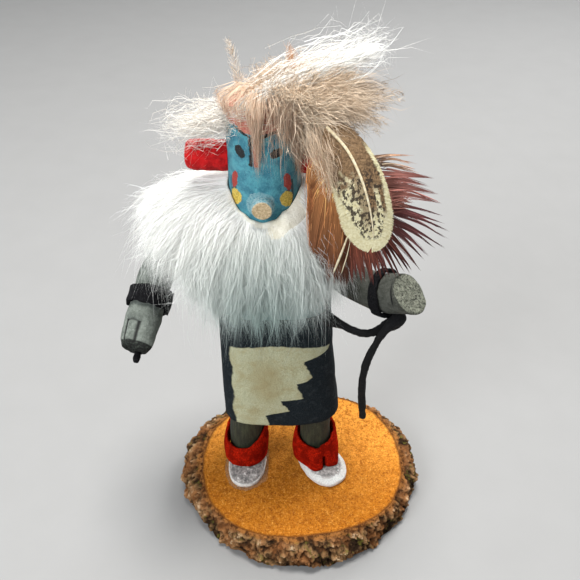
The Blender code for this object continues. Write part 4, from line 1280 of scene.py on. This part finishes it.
def add_fur():
    """Rabbit fur: fine hairs that leave the hide and fall in loose locks to a ragged hem."""
    lock_azimuth, length, lock_depth, twist, wave = fur_locks()
    pick = RANDOM.integers(0, LOCKS, HAIRS)
    root = lock_azimuth[pick] + RANDOM.normal(0, 7.0, HAIRS)
    tip = lock_azimuth[pick] + twist[pick] + RANDOM.normal(0, 5.4, HAIRS)
    begin, end, long = hair_reach(root, tip, length[pick])
    tip -= 0.60 * lock_side(tip)
    azimuth = root[:, None] + (tip - root)[:, None] * np.linspace(0.0, 1.0, HAIR_STEPS) ** 1.3
    depth = np.clip(lock_depth[pick] + RANDOM.normal(0, 0.10, HAIRS), 0.05, 1.06)
    paths = hair_paths(azimuth, begin, end, long, depth, wave[pick])
    widths = RANDOM.uniform(*HAIR_WIDTHS, HAIRS)
    bright = RANDOM.normal(1.0, 0.05, LOCKS)[pick] * RANDOM.normal(1.0, 0.07, HAIRS)
    front = hump(np.mod(azimuth + 180.0, 360.0), 182.0, 52.0)
    shaded = np.clip((107.5 - paths[..., 2]) / 22.0, 0.0, 1.0) ** 0.62 * front
    tint = np.clip(shade(FUR_WHITE, FUR_SHADE, shaded) * bright[:, None, None], 0.0, 0.96)
    look = strand_look("rabbit_fur", 0.6)
    middle = np.mod(lock_azimuth[pick] + 60.0, 360.0)
    for name, (low, high) in FUR_PIECES.items():
        chosen = ((middle >= low) & (middle < high)) | (middle + 360.0 < high)
        add_strands(name, paths[chosen], widths[chosen], tint[chosen], look, "rabbit_fur",
                    "fur_collar")


# ---------------------------------------------------------------- plumes

PLUME_CENTRE = np.array([0.0, 0.5, 134.0])
PLUME_DEPTH = 12.4
PLUME_OUTLINE = (  # angle from the right, turning up, and reach from the centre
    (0.0, 21.0), (25.0, 18.0), (42.0, 15.2), (65.0, 10.5), (90.0, 7.0), (125.0, 7.0),
    (150.0, 12.0), (172.0, 17.0), (186.0, 18.0), (200.0, 17.0), (212.0, 13.5), (235.0, 10.5),
    (258.0, 12.5), (276.0, 18.5), (300.0, 20.0), (330.0, 20.0), (360.0, 21.0),
)
TUFTS, FEATHERED_TUFTS, TUFT_HAIRS, TUFT_BARBS = 150, 70, 10400, 4600
FORELOCK = (  # azimuth at root and tip, height of the tip, hairs
    (-52.0, -47.0, 131.4, 46), (-40.0, -38.0, 132.6, 26), (-33.0, -26.0, 130.8, 24),
    (-24.0, -10.0, 128.6, 20), (-15.0, -5.0, 124.5, 30), (-9.0, -4.5, 121.0, 50),
    (-5.0, -4.0, 118.6, 56), (0.0, -3.2, 120.0, 40), (6.0, -2.4, 124.0, 24),
    (10.0, 8.0, 132.4, 14), (15.0, 17.0, 131.6, 16), (21.0, 23.0, 130.0, 34),
    (27.0, 28.0, 126.5, 85), (35.0, 38.0, 124.5, 105), (46.0, 46.0, 123.0, 110),
    (55.0, 52.0, 121.0, 110), (63.0, 58.0, 118.0, 110), (71.0, 65.0, 114.5, 90),
    (80.0, 74.0, 115.5, 85), (92.0, 84.0, 118.0, 60), (4.0, -5.0, 114.5, 8),
    (-6.0, -13.0, 116.5, 6), (10.0, 15.0, 117.5, 8), (-14.0, -34.0, 126.0, 10),
    (14.0, 22.0, 119.5, 14), (22.0, 30.0, 117.5, 14), (-58.0, -62.0, 131.5, 30),
    (-72.0, -86.0, 132.0, 24),
)
WHITE = ((0.96, 0.96, 0.94), (0.84, 0.82, 0.77))
PALE = ((0.86, 0.84, 0.79), (0.64, 0.57, 0.48))
BROWN = ((0.42, 0.17, 0.055), (0.66, 0.42, 0.24))
TAN = ((0.72, 0.56, 0.41), (0.36, 0.255, 0.17))
GUIDED_TUFTS = (  # name, guide, strands, spread, reach, lengths, curl, colours, slot, node
    ("white_tuft", ((-15.0, -5.5, 133.8), (-10.0, -5.5, 136.2), (-5.0, -4.6, 138.6),
                    (1.5, -3.0, 141.0), (8.0, -1.0, 143.0), (13.5, 0.5, 145.0)),
     2000, (0.7, 0.90, 0.90, 0.80, 0.62, 0.40), (0.7, 1.04), (0.25, 0.6), 0.75, WHITE,
     "white_down", "plume_white"),
    ("white_curls", ((-12.0, -3.0, 135.5), (-5.0, -2.0, 139.5), (3.0, -1.0, 142.6),
                     (11.0, 0.5, 145.2), (15.5, 1.2, 147.0)),
     300, (1.7, 2.2, 2.2, 1.8, 1.4), (0.7, 1.05), (0.3, 0.6), 2.0, WHITE,
     "white_down", "plume_white"),
    ("left_wisps", ((-13.5, -3.0, 131.5), (-19.5, -2.6, 130.2), (-25.5, -2.2, 128.8),
                    (-32.0, -1.8, 127.0)),
     560, (1.3, 2.1, 2.2, 1.8), (0.5, 1.06), (0.3, 0.6), 1.9, PALE, "tan_down", "plume_left"),
    ("brown_tuft", ((-2.0, -0.6, 138.5), (-2.8, 0.3, 141.5), (-4.0, 1.2, 146.2)),
     120, (1.0, 0.8, 0.35), (0.5, 1.0), (0.4, 0.7), 0.4, BROWN, "tan_down", "plume_tan"),
    ("quill_down", ((1.5, -11.0, 133.0), (3.5, -13.0, 129.0), (5.0, -14.4, 124.5),
                    (6.0, -15.0, 119.5)),
     300, (1.3, 1.5, 1.2, 0.9), (0.6, 1.05), (0.3, 0.6), 0.9, TAN, "tan_down", "plume_tan"),
)
DOWN_WIDTHS, FLUFF_WIDTHS = (0.06, 0.12), (0.06, 0.14)
DOWN_STEPS, FLUFF_STEPS, GUIDE_ROWS = 7, 6, 80
MASK_GAP = 0.25  # how far down keeps from the mask
UPRIGHT_ROOT, UPRIGHT_TIP = (-14.4, 0.2, 132.0), (-16.8, 2.9, 145.7)
UPRIGHT_BOW, UPRIGHT_BARBS = (1.2, 0.0, 0.0), 230


def bend(roots, middles, tips, steps):
    """Smooth bows from roots to tips that pass near middles."""
    t = np.linspace(0.0, 1.0, steps)[None, :, None]
    return (roots[:, None] * (1 - t) ** 2 + middles[:, None] * 2 * t * (1 - t)
            + tips[:, None] * t ** 2)


def clear_of_mask(paths):
    """Push strands out of the mask and its rounded top."""
    clear = MASK_RADIUS + MASK_GAP
    off = paths[..., :2] - MASK_CENTRE
    far = np.linalg.norm(off, axis=-1)
    inside = (paths[..., 2] < MASK_LEVELS[1] - 0.4) & (far < clear)
    scale = np.where(inside, clear / np.maximum(far, 0.5), 1.0)
    cleared = paths.copy()
    cleared[..., :2] = MASK_CENTRE + off * scale[..., None]
    return cleared


def barbs(roots, tips, bows, count, longest, steps):
    """Barbs of small pointed feathers: each quill bows from its root to its tip."""
    pick = RANDOM.integers(0, len(roots), count)
    place = RANDOM.uniform(0.30, 1.0, count)[:, None]
    first, last = roots[pick], tips[pick]
    middle = (first + last) / 2 + bows[pick]
    start = first * (1 - place) ** 2 + middle * 2 * place * (1 - place) + last * place ** 2
    way = unit((middle - first) * (1 - place) + (last - middle) * place)
    side = unit(np.cross(way, [0.0, -0.8, 0.6])) * RANDOM.choice([-1.0, 1.0], (count, 1))
    lean = np.radians(RANDOM.normal(24.0, 6.0, (count, 1)))
    length = (0.8 + (longest - 0.8) * (1 - place ** 2)) * RANDOM.uniform(0.7, 1.15, (count, 1))
    ahead = way * np.cos(lean) + side * np.sin(lean) + RANDOM.normal(0, 0.10, (count, 3))
    end = start + ahead * length
    centre = (start + end) / 2 + side * length * 0.10
    return bend(start, centre, end, steps), pick


def tan_paths():
    """Strands of the fluffy mass and a tone for each: plain down, then small feathers' barbs."""
    angle = RANDOM.uniform(0, 360, TUFTS)
    lean = RANDOM.uniform(-0.95, 0.95, TUFTS)
    long = RANDOM.uniform(0.62, 1.05, TUFTS)
    reach = between(PLUME_OUTLINE, angle) * (1.0 - np.abs(lean) ** 3.5) ** 0.35 * long
    angle = np.radians(angle)
    tip = PLUME_CENTRE + np.stack([
        reach * np.cos(angle), PLUME_DEPTH * lean,
        reach * np.sin(angle) - np.maximum(0.0, lean) * 4.5], 1)
    root = np.stack([np.clip(tip[:, 0] * 0.35 - 3.0, -12.0, 5.0), lean * 4.0,
                     134.5 + 0.12 * (tip[:, 2] - 134.0)], 1)
    pick = RANDOM.integers(0, TUFTS, TUFT_HAIRS)
    short = RANDOM.uniform(0.5, 1.04, TUFT_HAIRS)[:, None]
    roots = root[pick] + RANDOM.normal(0, 1.8, (TUFT_HAIRS, 3))
    tips = roots + (tip[pick] + RANDOM.normal(0, 1.9, (TUFT_HAIRS, 3)) - roots) * short
    middles = (roots + tips) / 2 + RANDOM.normal(0, 1.9, (TUFT_HAIRS, 3))
    middles += unit(tips - PLUME_CENTRE) * 1.5 + [0.0, 0.0, 2.2]
    middles[:, 1] += lean[pick] * 4.0
    down = bend(roots, middles, tips, FLUFF_STEPS) + wander(TUFT_HAIRS, FLUFF_STEPS, 0.8, 1.6)
    tone = RANDOM.uniform(0, 1, TUFTS)[pick] * 0.6 + RANDOM.uniform(0, 0.4, TUFT_HAIRS)
    chosen = RANDOM.permutation(TUFTS)[:FEATHERED_TUFTS]
    bows = RANDOM.normal(0, 1.2, (FEATHERED_TUFTS, 3)) + [0.0, 0.0, 1.6]
    ends = PLUME_CENTRE + (tip[chosen] - PLUME_CENTRE) * 1.04
    feathers, which = barbs(root[chosen], ends, bows, TUFT_BARBS, 5.0, FLUFF_STEPS)
    feathers += wander(TUFT_BARBS, FLUFF_STEPS, 0.22, 1.2)
    tones = RANDOM.uniform(0, 1, FEATHERED_TUFTS)[which] * 0.7 + RANDOM.uniform(0, 0.3, TUFT_BARBS)
    return clear_of_mask(np.concatenate([down, feathers])), np.concatenate([tone, tones])[:, None]


def add_tan_down():
    """The fluffy mass, thinned at the front left, where the mask's painted brow shows."""
    paths, tone = tan_paths()
    x, y, z = paths[:, 3].T
    brow = (np.clip((-1.0 - y) / 2.0, 0.0, 1.0) * np.clip((1.5 - x) / 3.0, 0.0, 1.0)
            * np.clip((139.5 - z) / 1.5, 0.0, 1.0))
    kept = RANDOM.uniform(0, 1, len(paths)) > 0.86 * brow
    paths, tone = paths[kept], tone[kept]
    x, y, z = paths.transpose(2, 0, 1)
    tint = shade((0.77, 0.62, 0.47), (0.31, 0.220, 0.145),
                 tone * 0.95 + 0.1 * (np.linspace(0.0, 1.0, FLUFF_STEPS) - 0.5))
    # painted light: the middle front of the mass is lightened; it also darkens towards the right
    lit_middle = hump(x, 2.0, 8.0) * hump(z, 133.5, 7.5)
    tint = tint + (np.array([0.88, 0.74, 0.57]) - tint) * (0.70 * lit_middle)[..., None]
    tint *= (1.0 - 0.22 * np.clip((x - 7.0) / 8.0, 0.0, 1.0))[..., None]
    add_strands("tan_fluff", paths, RANDOM.uniform(*FLUFF_WIDTHS, len(paths)), tint,
                strand_look("soft_down"), "tan_down", "plume_tan")


def add_forelock():
    """Pinkish wisps that fall over the brow and between the eyes, thin enough to see past."""
    paths, tints = [], []
    t = np.linspace(0.0, 1.0, DOWN_STEPS)[None, :]
    for first, last, low, count in FORELOCK:
        spread = RANDOM.normal(0, 4.6, (count, 1)) * (1.0 - 0.90 * t ** 1.1)
        azimuth = np.radians(first + (last - first) * t + spread
                             + RANDOM.normal(0, 1.7, (count, 1)) * t)
        length = RANDOM.uniform(0.55, 1.04, (count, 1))
        top = 136.5 + RANDOM.normal(0, 0.8, (count, 1))
        bow = 1.5 * np.sin(pi * np.minimum(1.0, t * 1.3)) * RANDOM.uniform(0.2, 1.2, (count, 1))
        reach = (MASK_RADIUS + 0.5) * np.minimum(1.0, 0.25 + 2.2 * t) + bow
        height = (top + 1.6 * np.sin(pi * np.minimum(1.0, 2.5 * t)) * (t < 0.4)
                  - (top - low) * length * t ** 1.5)
        paths.append(np.stack([MASK_CENTRE[0] + reach * np.sin(azimuth),
                               MASK_CENTRE[1] - reach * np.cos(azimuth), height], -1))
        tints.append(shade((0.84, 0.70, 0.53), (0.60, 0.40, 0.29),
                           RANDOM.uniform(0, 1, (count, 1)) * 0.6 + 0.5 * t ** 0.7))
    paths, tint = np.concatenate(paths), np.concatenate(tints)
    paths = clear_of_mask(paths + wander(len(paths), DOWN_STEPS, 0.5, 1.4))
    add_strands("brow_wisps", paths, RANDOM.uniform(*DOWN_WIDTHS, len(paths)), tint,
                strand_look("brow_down"), "tan_down", "plume_tan")


def add_guided_tuft(name, guide, count, size, ends, length, curl, tones, slot, node):
    """Down that follows a line: size is its spread along it, ends the reach of its strands."""
    line = spline(guide, GUIDE_ROWS)
    start = RANDOM.uniform(0.0, ends[0], count)
    end = np.clip(start + RANDOM.uniform(*length, count), 0.25, ends[1])
    share = start[:, None] + (end - start)[:, None] * np.linspace(0.0, 1.0, DOWN_STEPS)
    place = np.clip(share, 0.0, 1.0) * GUIDE_ROWS
    i = np.minimum(place.astype(int), GUIDE_ROWS - 1)
    paths = line[i] + (line[i + 1] - line[i]) * (place - i)[..., None]
    over = np.maximum(share - 1.0, 0.0)[..., None] * (line[-1] - line[-9]) * 8.0
    spread = np.interp(share, np.linspace(0, 1, len(size)), size)
    offset = RANDOM.normal(0, 1.0, (count, 1, 3))
    paths = paths + over + offset * spread[..., None] + wander(count, DOWN_STEPS, curl, 1.7)
    tone = RANDOM.uniform(0, 1, (count, 1)) ** 1.5 * np.ones(DOWN_STEPS)
    add_strands(name, clear_of_mask(paths), RANDOM.uniform(*DOWN_WIDTHS, count),
                shade(*tones, tone), strand_look(name), slot, node)


def add_upright_wisp():
    root, tip = np.array([UPRIGHT_ROOT]), np.array([UPRIGHT_TIP])
    paths, _ = barbs(root, tip, np.array([UPRIGHT_BOW]), UPRIGHT_BARBS, 3.4, DOWN_STEPS)
    paths += wander(len(paths), DOWN_STEPS, 0.18, 1.2)
    tone = RANDOM.uniform(0, 1, (len(paths), 1)) * np.ones(DOWN_STEPS)
    add_strands("upright_wisp", paths, RANDOM.uniform(*DOWN_WIDTHS, len(paths)),
                shade(PALE[0], (0.55, 0.42, 0.30), tone), strand_look("upright_wisp"),
                "tan_down", "wisp_upright")


def add_light_down():
    """The white tuft over the top, pale wisps at its left, other tufts, and the upright tip."""
    for tuft in GUIDED_TUFTS:
        add_guided_tuft(*tuft)
    add_upright_wisp()


# ---------------------------------------------------------------- feathers

FEATHER_FACE = np.array([0.0, -0.9, 0.45])
SPECKLED_QUILL = ((4.6, -9.9, 132.6), (9.0, -12.2, 128.6), (12.2, -13.9, 123.0),
                  (14.4, -15.0, 116.6), (15.6, -15.4, 110.6), (15.9, -15.4, 104.8))
SPECKLED_WIDTHS = (7.0, 4.9)  # left and right of the quill
BARBS, BARB_STEPS, BARB_WIDTH = 230, 10, 0.46
QUILL_ROWS, QUILL_END = 400, 344  # the quill shows on the vane up to its row QUILL_END
HACKLE_STEPS, HACKLE_WIDTHS = 7, (0.12, 0.22)
ORANGE, RUST, DARK = (0.56, 0.26, 0.092), (0.21, 0.066, 0.024), (0.060, 0.020, 0.012)
DULL_BROWN, RED, MAROON = (0.34, 0.22, 0.15), (0.40, 0.16, 0.13), (0.028, 0.008, 0.011)
# Each fan is (clumps, hairs in one, roots from and to, tips from, past and to, bow, spread,
# how fast a clump narrows, colour at its roots, colour at its tips).
RUST_FANS = (
    (20, 70, ((3.6, -9.7, 124.0), (4.6, -9.9, 121.0)),
     ((1.6, -11.0, 118.0), (0.9, -11.9, 108.0), (2.2, -11.8, 101.0)), 1.0, 0.85, 0.75,
     ORANGE, RUST),
    (20, 80, ((4.4, -10.0, 122.0), (6.8, -10.4, 119.0)),
     ((1.9, -12.6, 99.5), (4.6, -12.8, 93.6), (9.5, -12.4, 93.6)), 0.7, 0.95, 0.75,
     (0.46, 0.19, 0.065), (0.105, 0.032, 0.018)),
    (12, 70, ((5.2, -9.6, 121.0), (9.0, -10.0, 117.0)),
     ((4.0, -12.2, 94.6), (7.0, -12.4, 91.8), (11.0, -12.0, 92.8)), 0.4, 1.0, 0.7, RUST, DARK),
)
MAROON_FANS = (
    (4, 12, ((13.0, -8.4, 125.0), (15.0, -8.6, 123.0)),
     ((23.5, -8.6, 126.5), (25.0, -8.8, 123.0), (26.0, -9.0, 121.0)), -1.0, 0.22, 0.5,
     DULL_BROWN, (0.24, 0.11, 0.06)),
    (4, 30, ((15.0, -8.8, 122.0), (17.0, -9.4, 117.5)),
     ((27.0, -9.0, 122.0), (30.0, -9.6, 117.5), (31.8, -10.0, 114.0)), -1.3, 0.75, 0.50,
     RED, (0.070, 0.018, 0.015)),
    (4, 40, ((16.2, -9.4, 119.0), (17.0, -9.8, 115.0)),
     ((24.0, -9.2, 119.0), (25.0, -9.6, 115.0), (24.5, -10.0, 112.0)), -0.8, 1.2, 0.8,
     RED, (0.30, 0.115, 0.085)),
    (8, 20, ((17.0, -9.6, 115.0), (18.0, -10.2, 109.5)),
     ((33.4, -10.0, 112.5), (34.6, -10.2, 104.5), (29.2, -10.8, 97.0)), -1.0, 0.40, 0.42,
     (0.17, 0.055, 0.050), MAROON),
    (9, 26, ((17.5, -10.2, 109.5), (14.0, -10.4, 108.0)),
     ((28.5, -10.8, 97.0), (24.0, -11.0, 93.6), (18.5, -10.9, 94.0)), -0.5, 0.36, 0.50,
     (0.15, 0.042, 0.030), (0.042, 0.011, 0.011)),
    (10, 60, ((15.0, -10.3, 110.0), (9.0, -10.4, 109.0)),
     ((19.5, -11.4, 93.6), (15.5, -11.6, 92.0), (9.5, -11.6, 93.6)), 0.2, 0.66, 0.65,
     (0.22, 0.060, 0.030), (0.085, 0.024, 0.020)),
)
SPINES = (  # name, route, radius
    ("pale_spine", ((10.6, -12.9, 109.0), (9.4, -12.8, 104.0), (7.4, -12.6, 96.5)), 0.42),
    ("thin_spine", ((11.0, -12.6, 107.0), (10.4, -12.6, 102.0), (9.3, -12.4, 96.3)), 0.18),
)


def speckled_fullness(t):
    """The vane's width along the quill: narrow at its base and round at its tip."""
    start = 0.55 + 0.45 * np.sin(np.clip(t / 0.55, 0.0, 1.0) * pi / 2)
    end = np.sqrt(np.clip(1.0 - (np.clip(t - 0.66, 0.0, 1.0) / 0.34) ** 2, 0.0, 1.0))
    return start * end


def vane_half(spine, side, face, way, half):
    """The barbs at one side of the quill: their paths, the way they face, and their marks."""
    s = np.linspace(0.0, 1.0, BARB_STEPS)
    t = np.linspace(0.0, 1.0, BARBS) ** 0.8 + RANDOM.normal(0, 0.0015, BARBS)
    root, tip = np.clip(t * 0.93, 0, 1)[:, None], np.clip(0.10 + 0.90 * t, 0, 1)[:, None]
    i = np.round((root + (tip - root) * s ** 1.3) * QUILL_ROWS).astype(int)
    out = half * speckled_fullness(tip) * RANDOM.normal(1.0, 0.012, (BARBS, 1)) * s
    cup = 0.10 * out ** 2 / half - 0.12 * RANDOM.normal(0, 1, (BARBS, 1)) * s
    paths = spine[i] + side[i] * (way * out)[..., None] - face[i] * cup[..., None]
    return paths, face[i], root + (tip - root) * s, way * s * np.ones((BARBS, 1))


def add_speckled_feather():
    """One cream body feather: its barbs end on a rounded outline and lie close together."""
    spine = spline(SPECKLED_QUILL, QUILL_ROWS)
    ahead = unit(np.gradient(spine, axis=0))
    side = unit(np.cross(FEATHER_FACE, ahead))
    face = np.cross(ahead, side)
    halves = [vane_half(spine, side, face, way, half)
              for way, half in zip((-1.0, 1.0), SPECKLED_WIDTHS)]
    paths, lay, along, across = [np.concatenate(both) for both in zip(*halves)]
    add_strands("speckled_vane", paths, np.full(len(paths), BARB_WIDTH), None, speckled_look(),
                "speckled_feather", "feather_speckled", lay=lay, taper=0.10,
                marks={"along": along, "across": across})
    path = (spine + face * 0.15)[:QUILL_END:6]
    radii = np.interp(np.linspace(0, 1, len(path)), [0, 0.6, 1.0], [0.36, 0.26, 0.09])
    rings = tube_rings(path, radii, 10)
    add_piece("speckled_quill", rings, loft(rings), quill_look(), "speckled_feather")


def quill_look():
    look = Look("pale_quill", roughness=0.4)
    fine = look.noise(1.5, 3.0, 0.6)
    return look.finish(look.ramp(fine, 0.35, 0.65, (0.84, 0.76, 0.55), (0.66, 0.54, 0.33)),
                       (fine, 0.08))


def speckled_look():
    """Cream, with a grey-brown base and middle, painted shade beside the quill on the left half,
    black-brown speckles and plain cream edges.
    """
    look = Look("speckled_vane", roughness=0.6, Specular_IOR_Level=0.3)
    rise, times = look.rise, look.times
    along, across = look.mark("along"), look.mark("across")
    away = look.math("ABSOLUTE", across)
    fine = look.noise(2.0, 3.0, 0.7)
    soft = times(look.swing(0.7, 2.0, 0.6), 0.5)
    spots = look.noise(1.15, 2.0, 0.6, stretch=(1.25, 1.0, 0.75))
    cream = look.ramp(fine, 0.3, 0.7, (0.66, 0.58, 0.32), (0.84, 0.79, 0.55))
    brown = look.ramp(fine, 0.35, 0.65, (0.120, 0.070, 0.034), (0.29, 0.180, 0.092))
    base = times(rise(look.add(along, soft), 0.52, 0.34), rise(away, 0.97, 0.80))
    # painted shade: brown beside the quill on the vane's left half
    shadow = times(rise(look.add(away, soft), 0.40, 0.26), rise(along, 0.88, 0.66), 0.75)
    edge = times(rise(away, 0.76, 0.84), rise(along, 0.20, 0.30))
    stripe = times(rise(away, 0.30, 0.38), rise(along, 0.46, 0.56))
    dark = times(rise(away, 0.52, 0.58), rise(away, 0.76, 0.70), rise(along, 0.40, 0.48),
                 rise(along, 0.74, 0.62))
    right = rise(across, -0.02, 0.02)
    light = look.add(
        times(look.less(1.0, right), look.less(1.0, look.most(base, shadow))),
        times(right, look.most(edge, stripe, rise(along, 0.60, 0.72)), look.less(1.0, dark)))
    inside = look.less(away, look.less(1.25, times(along, 0.92)))
    zone = times(rise(inside, 0.06, -0.06), rise(along, 0.90, 0.84), rise(along, 0.30, 0.42))
    colour = look.paint(look.mix(light, brown, cream),
                        (spots, 0.50, 0.545, times(zone, 0.93), (0.040, 0.026, 0.018)))
    return look.finish(colour, (fine, 0.1))


def hackle_clump(u, hairs, roots, tips, bow, spread, narrow, near, far):
    """Paths, colours and widths of one clump's hairs, at a place u from 0 to 1 in its fan."""
    roots, tips = np.array(roots), np.array(tips)
    root = roots[0] + (roots[1] - roots[0]) * u
    tip = tips[0] * (1 - u) ** 2 + tips[1] * 2 * u * (1 - u) + tips[2] * u ** 2
    tip = root + (tip - root) * RANDOM.uniform(0.88, 1.05)
    way = unit(tip - root)
    across = unit(np.cross(way, FEATHER_FACE))
    lift = RANDOM.uniform(-0.5, 0.5)
    fan = RANDOM.normal(0, spread, (hairs, 1))
    middle = (root + tip) / 2 + across * (bow * RANDOM.uniform(0.5, 1.4)) + [0.0, lift, 0.0]
    begin = (root + across * fan + way * RANDOM.uniform(-1.0, 3.0, (hairs, 1))
             + RANDOM.normal(0, 0.12, (hairs, 3)))
    centre = middle + across * fan * narrow + RANDOM.normal(0, 0.09, (hairs, 3))
    end = (tip + across * fan * 0.06 + way * RANDOM.uniform(-3.0, 0.3, (hairs, 1))
           + RANDOM.normal(0, 0.05, (hairs, 3)))
    tone = RANDOM.normal(1.0, 0.14) * RANDOM.normal(1.0, 0.14, (hairs, 1, 1))
    pale = np.where(RANDOM.uniform(0, 1, (hairs, 1, 1)) < 0.11, 2.8, 1.0)
    share = np.linspace(0.0, 1.0, HACKLE_STEPS) ** 1.2 * np.ones((hairs, 1))
    tint = np.clip(shade(near, far, share) * tone * pale, 0.0, 0.9)
    return bend(begin, centre, end, HACKLE_STEPS), tint, RANDOM.uniform(*HACKLE_WIDTHS, hairs)


def add_hackle(name, fans, slot, node):
    """A hackle's barbs in pointed clumps."""
    clumps = [hackle_clump((k + RANDOM.uniform(0.25, 0.75)) / count, *fan)
              for count, *fan in fans for k in range(count)]
    paths, tints, widths = [np.concatenate(parts) for parts in zip(*clumps)]
    add_strands(name, paths, widths, tints, strand_look(name), slot, node, lay=FEATHER_FACE,
                taper=0.40)


def add_spine(name, route, width):
    """A long pale barb tip, widest near its end."""
    path = spline(route, 24)
    t = np.linspace(0.0, 1.0, len(path))
    radii = width * (0.25 + 0.75 * t) * np.sqrt(np.clip(1.02 - t ** 4, 0, 1))
    rings = tube_rings(path, radii, 8)
    add_piece(name, rings, loft(rings), quill_look(), "rust_feather", "feather_rust")


def add_feathers():
    add_speckled_feather()
    add_hackle("rust_vane", RUST_FANS, "rust_feather", "feather_rust")
    add_hackle("maroon_vane", MAROON_FANS, "maroon_feather", "feather_maroon")
    for spine in SPINES:
        add_spine(*spine)


# ---------------------------------------------------------------- glue

GLUE_LEVELS = (  # height over the slice, growth over the moccasin's outline
    (0.05, 1.15), (0.30, 1.05), (0.60, 0.70), (0.85, 0.30), (0.90, -0.15),
)
GLUE_SIDES, GLUE_POWER = 120, 2.2


def glue_look():
    look = Look("clear_glue", roughness=0.10, IOR=1.48, Alpha=0.16)
    fine = look.noise(1.2, 3.0, 0.6)
    return look.finish(look.ramp(fine, 0.4, 0.7, (0.50, 0.34, 0.20), (0.72, 0.58, 0.42)),
                       (fine, 0.3))


def add_glue():
    """The clear glue that has run out round the left moccasin, with an uneven edge."""
    centre, length, width, turn = LEGS["left"][3:]
    rings = []
    for rise, grow in GLUE_LEVELS:
        ring = oval(SLICE_HEIGHT + rise, *centre, width + grow, length + grow, GLUE_POWER,
                    GLUE_SIDES, turn)
        lumps = 0.7 * relief(ring * (1, 1, 0), 0.18, 3, 7.0) * np.clip(grow, 0.0, 1.0)
        rings.append(swollen(ring, lumps, *centre))
    add_piece("clear_glue", rings, loft(rings), glue_look(), "painted_root")


# ---------------------------------------------------------------- build

def build():
    add_camera()
    add_thong()
    add_studio()
    add_bark()
    add_wood()
    add_torso()
    add_legs()
    add_kilt()
    add_cuffs()
    add_arms()
    black_suede = black_suede_look()
    add_bands(black_suede)
    add_stub(black_suede)
    add_mask()
    add_head_pegs()
    add_hide()
    add_fur()
    add_tan_down()
    add_forelock()
    add_light_down()
    add_feathers()
    add_glue()


build()
